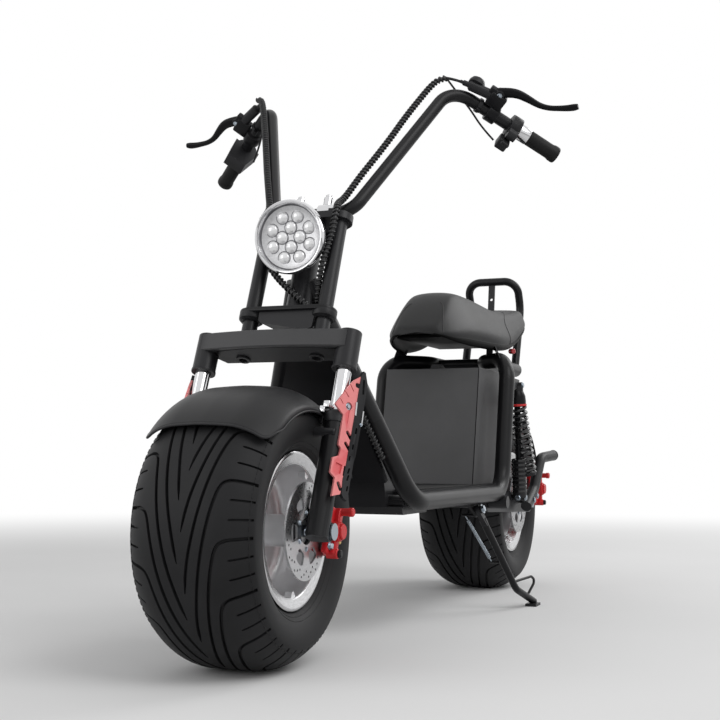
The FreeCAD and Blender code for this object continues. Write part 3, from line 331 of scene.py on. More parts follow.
def spline_points(points, resolution=10):
    """Points along the NURBS spline of a route, as Blender evaluates it."""
    curve = bpy.data.curves.new("route", "CURVE")
    curve.dimensions = "3D"
    curve.resolution_u = resolution
    spline = curve.splines.new("NURBS")
    spline.points.add(len(points) - 1)
    for spot, point in zip(spline.points, points):
        spot.co = (*point, 1)
    spline.order_u = 3
    spline.use_endpoint_u = True
    holder = bpy.data.objects.new("route", curve)
    mesh = bpy.data.meshes.new_from_object(holder)
    found = [Vector(vertex.co) for vertex in mesh.vertices]
    bpy.data.objects.remove(holder)
    bpy.data.curves.remove(curve)
    bpy.data.meshes.remove(mesh)
    return found


def frames(points):
    """A tangent, side and up vector at each point, carried along without twist."""
    tangents = []
    for index in range(len(points)):
        before, after = points[max(index - 1, 0)], points[min(index + 1, len(points) - 1)]
        tangents.append((after - before).normalized())
    side = tangents[0].orthogonal().normalized()
    found = []
    for tangent in tangents:
        side = (side - tangent * side.dot(tangent)).normalized()
        found.append((tangent, side, tangent.cross(side)))
    return found


def sweep(points, radius, sides=12, into=None):
    """A capped tube along points; radius is a number or a function of the index."""
    made = into or bmesh.new()
    rows = []
    for index, (point, (_, side, up)) in enumerate(zip(points, frames(points))):
        size = radius(index) if callable(radius) else radius
        rows.append([made.verts.new(point + (side * math.cos(2 * math.pi * k / sides)
                                             + up * math.sin(2 * math.pi * k / sides)) * size)
                     for k in range(sides)])
    capped(made, rows)
    return made


def helix(path, radius, pitch, steps):
    """Points winding round a path of points at a radius, one turn per pitch."""
    lengths = [0.0]
    for before, after in zip(path, path[1:]):
        lengths.append(lengths[-1] + (after - before).length)
    total = lengths[-1]
    basis = frames(path)
    count = int(total / pitch * steps)
    found, index = [], 0
    for step in range(count + 1):
        along = total * step / count
        while index < len(path) - 2 and lengths[index + 1] < along:
            index += 1
        share = (along - lengths[index]) / max(lengths[index + 1] - lengths[index], 1e-9)
        centre = path[index].lerp(path[index + 1], share)
        side = basis[index][1].lerp(basis[index + 1][1], share).normalized()
        up = basis[index][2].lerp(basis[index + 1][2], share).normalized()
        angle = 2 * math.pi * along / pitch
        found.append(centre + (side * math.cos(angle) + up * math.sin(angle)) * radius)
    return found


def rounded_box(size, bevel, into=None, place=HERE, segments=3):
    made = into or bmesh.new()
    fresh = bmesh.ops.create_cube(made, size=1.0)["verts"]
    bmesh.ops.scale(made, verts=fresh, vec=size)
    edges = list({edge for vertex in fresh for edge in vertex.link_edges})
    result = bmesh.ops.bevel(made, geom=edges, offset=bevel, segments=segments, affect="EDGES", profile=0.5)
    verts = list({vertex for face in result["faces"] for vertex in face.verts}
                 | {v for v in fresh if v.is_valid})
    bmesh.ops.transform(made, matrix=place, verts=verts)
    return made


def look_along(direction, spot):
    """A placement whose +Y axis runs along a direction."""
    turn = Vector(direction).to_track_quat("Y", "Z").to_matrix().to_4x4()
    return Matrix.Translation(spot) @ turn


def turned(into, place, profile, count=40):
    """A placed lathe in a shared mesh."""
    before = set(into.verts)
    lathe(profile, count, into)
    bmesh.ops.transform(into, matrix=place, verts=[v for v in into.verts if v not in before])


def upright(x, y, z):
    """A placement whose turned axis stands up at a point."""
    return Matrix.Translation((x, y, z)) @ Matrix.Rotation(math.pi / 2, 4, "X")


def sided(vector, side):
    """A vector of the left side, or its mirror image."""
    return Vector((vector.x, side * vector.y, vector.z))


def ring(into, place, radius, y, sides):
    """A circle of vertices round the placement's Y axis."""
    return [into.verts.new(place @ Vector((radius * math.cos(2 * math.pi * k / sides), y,
                                           radius * math.sin(2 * math.pi * k / sides))))
            for k in range(sides)]


def hex_bolt(into, spot, direction, radius=6.0, height=5.0, washer=8.5):
    """A washer and a chamfered hexagon head that face along a direction."""
    place = look_along(direction, spot)
    disc = [(washer, 0), (washer, 1.4)]
    head = [(radius, 1.3), (radius, height - 0.8), (radius * 0.86, height), (radius * 0.45, height + 0.2)]
    for profile, sides in ((disc, 24), (head, 6)):
        rows = [ring(into, place, r, y, sides) for r, y in profile]
        grid_faces(into, rows)
        into.faces.new(rows[-1])


def capsule(into, start, stop, radius, rim=1.5, sides=28):
    """A round boss with a chamfered end."""
    start, stop = Vector(start), Vector(stop)
    length = (stop - start).length
    place = look_along(stop - start, start)
    before = set(into.verts)
    profile = [(0.01, 0), (radius, 0), (radius, length - rim), (radius - rim, length), (0.01, length)]
    lathe(profile, sides, into)
    bmesh.ops.remove_doubles(into, verts=[v for v in into.verts if v not in before], dist=0.03)
    bmesh.ops.transform(into, matrix=place, verts=[v for v in into.verts if v not in before])


def cut_with(base, cutters):
    """The base mesh with the cutters taken away, as a mesh in the base's units."""
    objects = []
    for name, made in (("base", base), ("cutters", cutters)):
        mesh = bpy.data.meshes.new(name)
        bmesh.ops.recalc_face_normals(made, faces=made.faces)
        made.to_mesh(mesh)
        made.free()
        obj = bpy.data.objects.new(name, mesh)
        bpy.context.scene.collection.objects.link(obj)
        objects.append(obj)
    modifier = objects[0].modifiers.new("cut", "BOOLEAN")
    modifier.object = objects[1]
    modifier.operation = "DIFFERENCE"
    modifier.solver = "EXACT"
    graph = bpy.context.evaluated_depsgraph_get()
    result = bpy.data.meshes.new_from_object(objects[0].evaluated_get(graph))
    for obj in objects:
        bpy.data.objects.remove(obj)
    return result


# Tyres

TYRE_R, TYRE_HALF, TYRE_FLAT = 228.5, 109.4, 32
PITCHES = 15


def tyre_side(sign):
    """Half of the tyre's outer profile, from its crown to its bead."""
    crown = (TYRE_R, TYRE_FLAT)
    shoulder = (TYRE_R * 0.83, TYRE_HALF * 0.985)
    bead = (131, 85)
    points = arc(crown, (TYRE_R * 0.955, TYRE_HALF * 0.68), shoulder, 16)
    points += arc(shoulder, (TYRE_R * 0.70, TYRE_HALF * 0.975), bead, 14)
    points += [(131.5, 85), (130.5, 84.7), (118.5, 84.7)]
    return [(r, sign * y) for r, y in points]


def tyre_profile():
    flat = [(TYRE_R, TYRE_FLAT * (2 * k / 8 - 1)) for k in range(1, 8)]
    return tyre_side(-1)[::-1] + flat + tyre_side(1)


def crown_radius(y):
    """The tyre's radius and outward normal at a distance from its middle."""
    side = [(TYRE_R, 0)] + tyre_side(1)[:17]
    y = abs(y)
    for (r0, y0), (r1, y1) in zip(side, side[1:]):
        if y0 <= y <= y1:
            share = (y - y0) / (y1 - y0)
            return r0 + (r1 - r0) * share, Vector((y1 - y0, r0 - r1)).normalized()
    return side[-1][0], Vector((0, 1))


def groove(into, path, width, depth):
    """A tapered channel cutter along (angle, y) points of the tread."""
    rows = []
    for spot in spline_points([(angle * TYRE_R, y, 0) for angle, y in path], 7):
        angle, y = spot.x / TYRE_R, spot.y
        radius, normal = crown_radius(y)
        across = 1 if y >= 0 else -1
        outward = Vector((math.cos(angle) * normal.x, normal.y * across, -math.sin(angle) * normal.x))
        centre = Vector((math.cos(angle) * radius, y, -math.sin(angle) * radius))
        rows.append((centre, outward.normalized()))
    last = len(rows) - 1
    loops = []
    for index, (centre, outward) in enumerate(rows):
        run = (rows[min(index + 1, last)][0] - rows[max(index - 1, 0)][0]).normalized()
        taper = min(1.0, 0.3 + (1 - index / last) * 16)
        side = run.cross(outward).normalized() * (width / 2 * taper)
        deep = depth * min(1.0, 0.5 + taper)
        loops.append([into.verts.new(centre + side * share + outward * rise)
                      for share, rise in ((1, 3), (-1, 3), (-0.55, -deep), (0.55, -deep))])
    capped(into, loops)


def treaded_tyre():
    """The tyre with long swept grooves and short shoulder slits cut into it."""
    base = lathe(tyre_profile(), 224)
    cutters = bmesh.new()
    pitch = 2 * math.pi / PITCHES
    for side in (1, -1):
        for step in range(PITCHES):
            start = pitch * (step + (0.5 if side < 0 else 0.0))
            groove(cutters, [(start, side * 107), (start + 0.005, side * 92), (start + 0.012, side * 72),
                             (start + 0.05, side * 60), (start + 0.19, side * 52), (start + 0.46, side * 40),
                             (start + 0.80, side * 24), (start + 1.06, side * 10), (start + 1.22, side * 4)],
                   6.4, 6.0)
            for third in (1, 2):
                spot = start + pitch * third / 3
                groove(cutters, [(spot, side * 107), (spot + 0.006, side * 94), (spot + 0.012, side * 76)],
                       4.4, 4.4)
    return cut_with(base, cutters)


tyre_mesh = treaded_tyre()
for name, body, place, node in (("front_tread", "front_wheel", FRONT, "front_tyre"),
                                ("rear_tread", "rear_wheel", REAR, "rear_tyre")):
    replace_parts(piece(name, tyre_mesh.copy(), "tyre_rubber", body, place, 40), node)


# Seat

SEAT = [
    # x, half width, half width of the top, low, high
    (-167, 52, 42, 632, 648), (-182, 68, 50, 626, 664), (-205, 81, 54, 620, 688), (-240, 93, 54, 615, 720),
    (-276, 103, 54, 612, 744), (-310, 111, 58, 610, 751), (-370, 125, 74, 609, 745),
    (-432, 136, 88, 610, 735), (-500, 136, 94, 618, 728), (-560, 132, 97, 629, 729),
    (-620, 130, 100, 647, 734), (-670, 128, 102, 667, 742),
    (-720, 124, 104, 689, 750), (-752, 112, 94, 704, 750), (-768, 94, 78, 712, 744), (-774, 76, 62, 718, 736)]
SECTION = [
    # share of the half width, share of the height, from the underside's middle to the crown
    (0.0, 0.28), (0.5, 0.28), (0.78, 0.26), (0.86, 0.07), (0.925, 0.0), (0.97, 0.035), (0.985, 0.09),
    (0.968, 0.125), (0.985, 0.17), (1.0, 0.28)]
UNDERSIDE = 7


def seat_cover():
    """A crowned saddle cushion with a piped lower edge and a seam along its shoulder."""
    rows = []
    made = bmesh.new()
    for x, half, top, low, high in SEAT:
        ring = [(share * half, low + tall * (high - low)) for share, tall in SECTION]
        for blend, tall in ((0.25, 0.46), (0.58, 0.66), (0.88, 0.83)):
            ring.append((half + (top * 1.06 - half) * blend, low + tall * (high - low)))
        for share, tall in ((1.0, 0.915), (0.84, 0.965), (0.45, 0.992), (0.0, 1.0)):
            ring.append((top * share, low + tall * (high - low)))
        loop = ring + [(-y, z) for y, z in ring[-2:0:-1]]
        rows.append([made.verts.new((x, y, z)) for y, z in loop])
    grid_faces(made, rows)
    made.faces.ensure_lookup_table()
    around = len(rows[0])
    for number, face in enumerate(made.faces):
        if min(number % around, around - 1 - number % around) < UNDERSIDE:
            face.material_index = 1
    made.faces.new(rows[0][::-1])
    made.faces.new(rows[-1])
    bmesh.ops.recalc_face_normals(made, faces=made.faces)
    mesh = bpy.data.meshes.new("seat")
    for _ in range(2):
        mesh.materials.append(None)
    made.to_mesh(mesh)
    made.free()
    holder = bpy.data.objects.new("seat", mesh)
    bpy.context.scene.collection.objects.link(holder)
    smooth = holder.modifiers.new("smooth", "SUBSURF")
    smooth.levels = 3
    result = bpy.data.meshes.new_from_object(holder.evaluated_get(bpy.context.evaluated_depsgraph_get()))
    bpy.data.objects.remove(holder)
    return result


def seat_moulding(cover):
    """A black moulding that lies against the cushion's underside and lower edge."""
    made = bmesh.new()
    made.from_mesh(cover)
    bmesh.ops.delete(made, geom=[face for face in made.faces if face.material_index == 0], context="FACES")
    for face in made.faces:
        face.material_index = 0
    for vertex in made.verts:
        vertex.co += vertex.normal * 0.9
    return made


cover_mesh = seat_cover()
moulding = seat_moulding(cover_mesh)
for face in cover_mesh.polygons:
    face.material_index = 0
skin = piece("seat_moulding", moulding, "seat_black", "frame", angle=75)
skin = skin.modifiers.new("thickness", "SOLIDIFY")
skin.thickness = 0.8 * MM
cushion = piece("seat_cover", cover_mesh, "seat_leather", "frame", angle=75)
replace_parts(cushion, "seat_cushion")


REAR_SEAM = [(-610, 729), (-585, 722), (-560, 711), (-542, 700), (-530, 688), (-524, 674), (-521, 655),
             (-523, 636)]
NOSE_SEAM = [(-240, 716), (-228, 704), (-214, 690), (-203, 678), (-194, 667), (-187, 657), (-182, 647),
             (-179, 638)]


def seat_trim():
    """Piping in the panel seams, the pan inside the recess and the reflector behind."""
    tree = BVHTree.FromObject(cushion, bpy.context.evaluated_depsgraph_get())
    seams = bmesh.new()
    for side in (1, -1):
        for seam in (NOSE_SEAM, REAR_SEAM):
            line = []
            for spot in spline_points([(x, 0, z) for x, z in seam], 4):
                found = tree.ray_cast(Vector((spot.x, side * 400, spot.z)) * MM, Vector((0, -side, 0)))[0]
                if found is not None:
                    line.append(found / MM + Vector((0, side * 0.1, 0)))
            sweep(line, 1.1, 8, seams)
    piece("seat_seams", seams, "seat_leather", "frame", angle=60)
    pan = rounded_box((345, 158, 8), 2, place=Matrix.Translation((-412, 0, 637)))
    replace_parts(piece("seat_base", pan, "seat_black", "frame"), "seat_pan")
    glow = bmesh.new()
    capsule(glow, (-572, 120, 622), (-562, 131, 621), 7, 1.5)
    piece("side_reflector", glow, "red_lens", "frame")


seat_trim()


# Headlight

LAMP_U, LAMP_W, LAMP_TILT = 86, 540, 26
LAMP = (STEER @ Matrix.Translation((LAMP_U, 0, LAMP_W))
        @ Matrix.Rotation(math.radians(90 + LAMP_TILT), 4, "Y")
        @ Matrix.Rotation(math.radians(90), 4, "X"))


def headlight():
    """A dished reflector with twelve lenses, dark rings round each lens and inside the reflector's edge as
    painted shade, and the rim round it; y points out of the lamp.
    """
    dish = lathe([(0.01, -7), (20, -7), (46, -6.4), (58, -3.2), (60.6, -1.2), (60.8, -8), (0.01, -8)], 96)
    bmesh.ops.remove_doubles(dish, verts=dish.verts, dist=0.05)
    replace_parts(piece("lamp_reflector", dish, "lamp_chrome", "steering", LAMP), "headlight_lens")
    lenses, lens_shade_rings = bmesh.new(), bmesh.new()
    spots = [(40, math.radians(21 + 45 * k)) for k in range(8)] + [(17.8, math.pi * k / 2) for k in range(4)]
    for radius, angle in spots:
        place = Matrix.Translation((radius * math.cos(angle), -7, radius * math.sin(angle)))
        turned(lenses, place, [(0.01, 6.8), (4, 6.3), (7.8, 4.7), (10.3, 2.4), (11.4, 0.9), (11.8, -0.5),
                               (0.01, -0.5)], 32)
        # A dark ring round each lens's foot, painted shade for the shading at the lens rim.
        turned(lens_shade_rings, place, [(11.2, 0.2), (11.6, 1.2), (12.4, 1.3), (12.9, 0.2)], 32)
    bmesh.ops.remove_doubles(lenses, verts=lenses.verts, dist=0.05)
    rim = lathe([(59.5, -3), (60.2, 3.4), (61.6, 5.4), (62.6, 4.4), (63.4, 5.9), (65.4, 6.3), (67.6, 4.8),
                 (68.2, 2), (68.2, -6), (67.6, -8.5), (60, -8.5)], 128)
    # A dark ring just inside the reflector's edge, painted shade for the shading near the edge.
    edge_shade_ring = lathe([(57.6, -3.4), (58.2, -1.4), (60.8, 1.2), (60.8, -3.4)], 96)
    pieces("steering", LAMP, ("lamp_lenses", lenses, "lamp_lens"), ("lamp_lens_shade_rings", lens_shade_rings, "lamp_well"),
           ("lamp_rim", rim, "chrome_plate"), ("lamp_edge_shade_ring", edge_shade_ring, "lamp_well"))


headlight()


# Brake discs


def brake_disc():
    """A drilled disc with six windows, y along the axle."""
    face, back = 108.8, 105.2
    levels = (back - 4, face + 4)
    base = lathe([(22.5, back), (80.9, back), (80.9, face), (22.5, face)], 120)
    cutters = bmesh.new()
    window = [(36, -9), (40, -12.5), (54, -15), (58, -8), (59, 0), (58, 8), (54, 15), (40, 12.5), (36, 9)]
    for step in range(6):
        turn = Matrix.Rotation(-math.pi * step / 3, 4, "Y")
        prism(cutters, *([turn @ Vector((x, y, z)) for x, z in window] for y in levels))
    for step in range(48):
        angle = 2 * math.pi * step / 48
        radius = (65.5, 70.5, 75.5)[step % 3]
        hole = Matrix.Translation((radius * math.cos(angle), 0, radius * math.sin(angle)))
        capped(cutters, [ring(cutters, hole, 2.1, y, 10) for y in levels])
    return cut_with(base, cutters)


disc_mesh = brake_disc()
for end, place in (("front", FRONT), ("rear", REAR)):
    body = end + "_wheel"
    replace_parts(piece(end + "_drilled_disc", disc_mesh.copy(), "disc_steel", body, place, 30), end + "_disc")
    carrier = lathe([(22.5, 100.1), (34.5, 100.1), (34.5, 105.2), (22.5, 105.2)], 48)
    bolts = bmesh.new()
    for k in range(6):
        angle = math.pi * (k + 0.5) / 3
        hex_bolt(bolts, (29.5 * math.cos(angle), 108.8, 29.5 * math.sin(angle)), (0, 1, 0), 3.4, 2.4, 4.6)
    piece(end + "_disc_carrier", carrier, "motor_grey", body, place)
    piece(end + "_disc_bolts", bolts, "bolt_steel", body, place)


# Shocks

SHOCK_TOP, SHOCK_LOW = Vector((-486, 158, 528)), Vector((-512, 158, 246))


def shocks():
    """Coils that lean outwards on the dampers, with their red rings, caps and ribbed cylinders."""
    along = (SHOCK_TOP - SHOCK_LOW).normalized()
    coil, rings, caps, ribs, bolts = (bmesh.new() for _ in range(5))
    for side in (1, -1):
        low, top = (sided(spot, side) for spot in (SHOCK_LOW, SHOCK_TOP))
        start, stop = top - along * 52, Vector((-530, side * 174, 306))
        lean = (stop - start).normalized()
        path = [start + lean * spot for spot in np.linspace(0, (stop - start).length, 40)]
        sweep(helix(path, 19.8, 14.2, 26), 4.2, 10, coil)
        place = look_along(along, low)
        turned(rings, place, [(15.5, 231), (23.4, 231.5), (24.2, 234), (23.4, 236.6), (15.5, 237)])
        turned(caps, place, [(14.5, 237), (22, 237), (22.5, 240), (21.2, 256), (15.5, 270), (11, 276),
                             (10.4, 284),
                             (8, 284)])
        turned(caps, look_along(lean, stop), [(9, -4), (21.5, -3.4), (22.4, 0), (21.5, 3.4), (9, 4)])
        for rib in range(14, 92, 11):
            turned(ribs, place, [(15.8, rib), (18.2, rib + 0.8), (18.2, rib + 6.2), (15.8, rib + 7)])
        for spot in (low, top):
            hex_bolt(bolts, spot + Vector((0, side * 14, 0)), (0, side, 0), 6.5, 4.5, 8)
        hex_bolt(bolts, low + Vector((16, 0, 0)), (1, 0, 0), 6.5, 4.5, 8)
    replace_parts(piece("shock_coils", coil, "spring_steel", "frame"), "shock_springs")
    pieces("frame", HERE, ("shock_rings", rings, "red_paint"), ("shock_caps", caps, "black_anodised"),
           ("shock_ribs", ribs, "spring_steel"), ("shock_bolts", bolts, "bolt_steel"))


shocks()


# Looms

BAR_LOOMS = {
    "left": [(-77, 196, 1001), (-77, 180, 1000), (-70, 166, 977), (-57, 151, 934), (-42, 135, 885),
             (-23, 118, 821),
             (-7, 100, 766), (9, 82, 713), (27, 67, 654), (50, 66, 630), (68, 76, 604), (57, 67, 540),
             (56, 58, 486), (20, 46, 446)],
    "right": [(-84, -232, 1004), (-80, -224, 1001), (-76, -216, 990), (-67, -205, 966),
              (-54, -188, 923), (-35, -165, 862), (-18, -144, 803), (0, -123, 746), (16, -102, 691),
              (31, -83, 642), (52, -76, 616), (66, -76, 590), (56, -68, 552), (48, -58, 520),
              (42, -46, 496), (38, -10, 460), (24, 26, 432)]}
FRAME_LOOM = [(448.4, 50, 545), (427.4, 71, 488), (401.4, 95, 420), (375.4, 123, 345)]


CORE_R, STRIP_R, WRAP_PITCH = 4.2, 2.3, 8.4


def wrapped(into, points, place):
    """A loom's core with a spiral wrap round it."""
    path = [place @ spot for spot in spline_points(points, 8)]
    sweep(path, CORE_R, 10, into)
    sweep(helix(path, CORE_R + 0.6, WRAP_PITCH, 14), STRIP_R, 8, into)


def looms():
    made = bmesh.new()
    for points in BAR_LOOMS.values():
        wrapped(made, points, STEER)
    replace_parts(piece("bar_loom_wraps", made, "loom_plastic", "steering", angle=60), "bar_looms")
    made = bmesh.new()
    wrapped(made, FRAME_LOOM, HERE)
    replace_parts(piece("frame_loom_wrap", made, "loom_plastic", "frame", angle=60), "frame_loom")
    for name, points in BAR_LOOMS.items():
        before, start = (STEER @ Vector(spot) for spot in points[-2:])
        run = (start - before).normalized()
        finish = Vector(FRAME_LOOM[0]) + Vector((0, 0, 6 if name == "left" else 0))
        route = [start - run * 2, start + run * 14, finish + Vector((8, -12, 22)), finish]
        made = bmesh.new()
        wrapped(made, route, HERE)
        bridge = piece("loom_bridge_" + name, made, "loom_plastic", None, angle=60)
        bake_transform(bridge)


looms()


# Stand spring


def stand_spring():
    top, low = Vector((-155, 122, 217)), Vector((-224, 165, 108))
    along = (low - top).normalized()
    path = [top + along * spot for spot in np.linspace(14, (low - top).length - 12, 24)]
    made = sweep(helix(path, 3.1, 2.3, 10), 0.85, 6)
    sweep([top, top + along * 8, top + along * 15], 1.3, 8, made)
    sweep([low - along * 13, low - along * 6, low + along * 1], 1.3, 8, made)
    spring = piece("stand_spring_coil", made, "bolt_steel", None, angle=60)
    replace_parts(spring, "stand_spring")
    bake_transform(spring)


stand_spring()


# Front wheel


def two_sided(half):
    """A closed profile from its left half, given from the bore outwards."""
    return [(r, -y) for r, y in half] + [(r, y) for r, y in reversed(half)]


def front_rim():
    """A deep cast dish with a turned hub, small bosses and a polished lip each side."""
    dish = [(10.2, 100), (26, 100), (28.5, 97.5), (28.5, 92), (26.6, 90), (26.6, 22)]
    dish += arc((26.6, 20), (32, 12), (44, 9), 6) + arc((88, 9), (101, 13), (107, 27), 8)
    dish += [(107, 27), (108.5, 80), (109.5, 84.5), (117.8, 84.5)]
    piece("front_rim_dish", lathe(two_sided(dish), 144), "cast_metal", "front_wheel", FRONT)
    lips = bmesh.new()
    for side in (1, -1):
        lip = [(109.4, 82), (110.6, 85.6), (113, 87.2), (120, 88.4), (124.5, 90.6), (128, 91), (130.6, 89.6),
               (131, 86.5), (130.4, 85.1), (118.1, 85.1), (116, 83)]
        lathe([(r, side * y) for r, y in lip], 144, lips)
    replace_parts(piece("front_rim_lips", lips, "rim_metal", "front_wheel", FRONT), "front_rim")
    bosses = bmesh.new()
    wedge = [(109.5, -9), (109.5, 9), (100, 3), (100, -3)]
    for step in range(5):
        turn = Matrix.Rotation(2 * math.pi * (step + 0.3) / 5, 4, "Y")
        prism(bosses, *([turn @ Vector((x, y, z)) for x, z in wedge] for y in (70, 82)))
    piece("front_rim_bosses", bosses, "cast_metal", "front_wheel", FRONT)


front_rim()


def sidewall_y(radius):
    """How far out the sidewall stands at a radius."""
    side = tyre_side(1)[:31]
    for (r0, y0), (r1, y1) in zip(side, side[1:]):
        if r1 <= radius <= r0:
            return y0 + (y1 - y0) * (r0 - radius) / max(r0 - r1, 1e-6)
    return side[-1][1]


def sidewall_marks():
    """A ring of small moulded dashes and a fine bead ring on each sidewall."""
    dash_r = 196.5
    for name, body, place in (("front", "front_wheel", FRONT), ("rear", "rear_wheel", REAR)):
        made = bmesh.new()
        for side in (1, -1):
            for step in range(96):
                turn = Matrix.Rotation(2 * math.pi * step / 96, 4, "Y")
                spot = Matrix.Translation((dash_r, side * (sidewall_y(dash_r) + 0.2), 0))
                rounded_box((1.4, 1.6, 8.5), 0.4, made, turn @ spot, 1)
            for radius in (139, 146):
                y = sidewall_y(radius)
                lathe([(radius - 1, side * (y - 0.8)), (radius, side * (y + 0.7)),
                       (radius + 1, side * (y - 0.2)),
                       (radius, side * (y - 1.5))], 128, made)
        piece(name + "_sidewall_marks", made, "tyre_rubber", body, place)


sidewall_marks()


# Front fender

FENDER_FIRST, FENDER_LAST = 44.0, 156.0


def fender_section():
    """Half of the fender's outer section as (radius, y), with even steps."""
    points = arc((240.5, 0), (239.6, 25), (238, 51), 10) + arc((238, 51), (227.5, 85.5), (205.5, 113.4), 22)
    return points + [(205.5, 113.4), (198, 116.5)]


def fender_reach(elevation):
    """How far the skirt reaches down its section at an angle above the axle."""
    grown = min(1, max(0, (elevation - 44) / 14)) * min(1, max(0, (154 - elevation) / 10))
    return 0.94 + 0.06 * (3 * grown ** 2 - 2 * grown ** 3)


def front_fender():
    section = fender_section()
    rows, columns = 84, 64
    made = bmesh.new()
    grid = []
    for column in range(columns + 1):
        share = 2 * column / columns - 1
        first = FENDER_FIRST + 2.2 * (1 - share * share)
        corner = max(0, (abs(share) - 0.82) / 0.18)
        first += 6.5 * (1 - math.sqrt(max(0, 1 - corner * corner)))
        line = []
        for row in range(rows + 1):
            elevation = first + (FENDER_LAST - first) * row / rows
            spot = abs(share) * fender_reach(elevation) * (len(section) - 1)
            low = min(int(spot), len(section) - 2)
            r = section[low][0] + (section[low + 1][0] - section[low][0]) * (spot - low)
            y = section[low][1] + (section[low + 1][1] - section[low][1]) * (spot - low)
            angle = math.radians(elevation)
            line.append(made.verts.new((r * math.cos(angle), math.copysign(y, share), r * math.sin(angle))))
        grid.append(line)
    grid_faces(made, grid, closed=False)
    edge = [line[0].co.copy() for line in grid] + [vertex.co.copy() for vertex in grid[-1][1:]]
    edge += [line[-1].co.copy() for line in reversed(grid[:-1])]
    edge += [vertex.co.copy() for vertex in reversed(grid[0][1:-1])]
    bmesh.ops.remove_doubles(made, verts=made.verts, dist=0.01)
    bmesh.ops.recalc_face_normals(made, faces=made.faces)
    inward = made.faces[0].normal.dot(made.faces[0].calc_center_median()) < 0
    shell = piece("fender_shell", made, "black_plastic", "steering", FRONT, 40)
    thick = shell.modifiers.new("thickness", "SOLIDIFY")
    thick.thickness = 3.2 * MM
    thick.offset = 1.0 if inward else -1.0
    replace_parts(shell, "front_fender")
    bead = bmesh.new()
    rim = [spot * ((spot.length - 1.6) / spot.length) for spot in edge]
    rim_rows = []
    for (_, side, up), spot in zip(frames(rim), rim):
        rim_rows.append([bead.verts.new(spot + (side * math.cos(math.pi * k / 4)
                                                + up * math.sin(math.pi * k / 4)) * 2.1)
                         for k in range(8)])
    grid_faces(bead, rim_rows)
    piece("fender_rolled_edge", bead, "black_plastic", "steering", FRONT, 60)
    tabs = bmesh.new()
    for side in (1, -1):
        rounded_box((24, 5, 40), 1.2, tabs, Matrix.Translation((54, side * 115.5, 200)))
    piece("fender_tabs", tabs, "black_paint", "steering", STEER)


front_fender()


# Guards

GUARD = [(30, 290), (37, 132), (66, 50)]
GUARD_TEETH = [
    # reach forwards from the rail, height up the fork
    (12, 276), (25, 264), (30, 257), (57, 206), (36, 194), (35, 140), (29, 136), (28, 121), (39, 113),
    (34, 85),
    (21, 79), (15, 45), (0, 54), (3, 81), (6, 109), (10, 133), (10, 225)]
GUARD_RAIL = [
    (13, 275), (9, 287), (4, 286), (-4, 268), (-6, 203), (-5, 122), (-10, 91), (-16, 57), (-17, 47), (-8, 50),
    (-2, 56), (5, 81), (8, 109), (12, 133), (12, 225)]
GUARD_BACK = [
    (0, 264), (-9, 254), (-11, 206), (-8, 199), (-11, 190), (-10, 160), (-7, 154), (-10, 148), (-10, 122),
    (-15, 91), (-21, 58), (-12, 58), (0, 122), (0, 203)]


def guard_spot(reach, height, rise=0.0, side=1):
    """A point of the guard's slanted plane, in the fork's frame."""
    low, high = (GUARD[2], GUARD[1]) if height < GUARD[1][1] else (GUARD[1], GUARD[0])
    u = low[0] + (high[0] - low[0]) * (height - low[1]) / (high[1] - low[1])
    return Vector((u + 0.9 * reach + 0.436 * rise, side * (168 - 0.436 * reach + 0.9 * rise), height))


def guard_plate(into, outline, bottom, top):
    """A flat piece of the guard between two levels, as (reach, height, level)."""
    prism(into, *([(reach, height, level) for reach, height in outline] for level in (bottom, top)))


def guard_pair(flat, holes):
    """The flat pieces less their holes, set on the guard's plane on both sides."""
    cut = cut_with(flat, holes)
    made = bmesh.new()
    for side in (1, -1):
        half = bmesh.new()
        half.from_mesh(cut)
        bmesh.ops.triangulate(half, faces=half.faces)
        bmesh.ops.bisect_plane(half, geom=half.verts[:] + half.edges[:] + half.faces[:],
                               plane_co=(0, GUARD[1][1], 0),
                               plane_no=(0, 1, 0))
        for vertex in half.verts:
            vertex.co = guard_spot(vertex.co.x, vertex.co.y, vertex.co.z, side)
        merge(made, half)
    return made


def slot(start, stop, radius):
    """A round-ended slot's outline between two points."""
    turn = math.atan2(stop[1] - start[1], stop[0] - start[0])
    points = []
    for (x, y), first in ((stop, turn - math.pi / 2), (start, turn + math.pi / 2)):
        for k in range(8):
            angle = first + math.pi * k / 7
            points.append((x + radius * math.cos(angle), y + radius * math.sin(angle)))
    return points


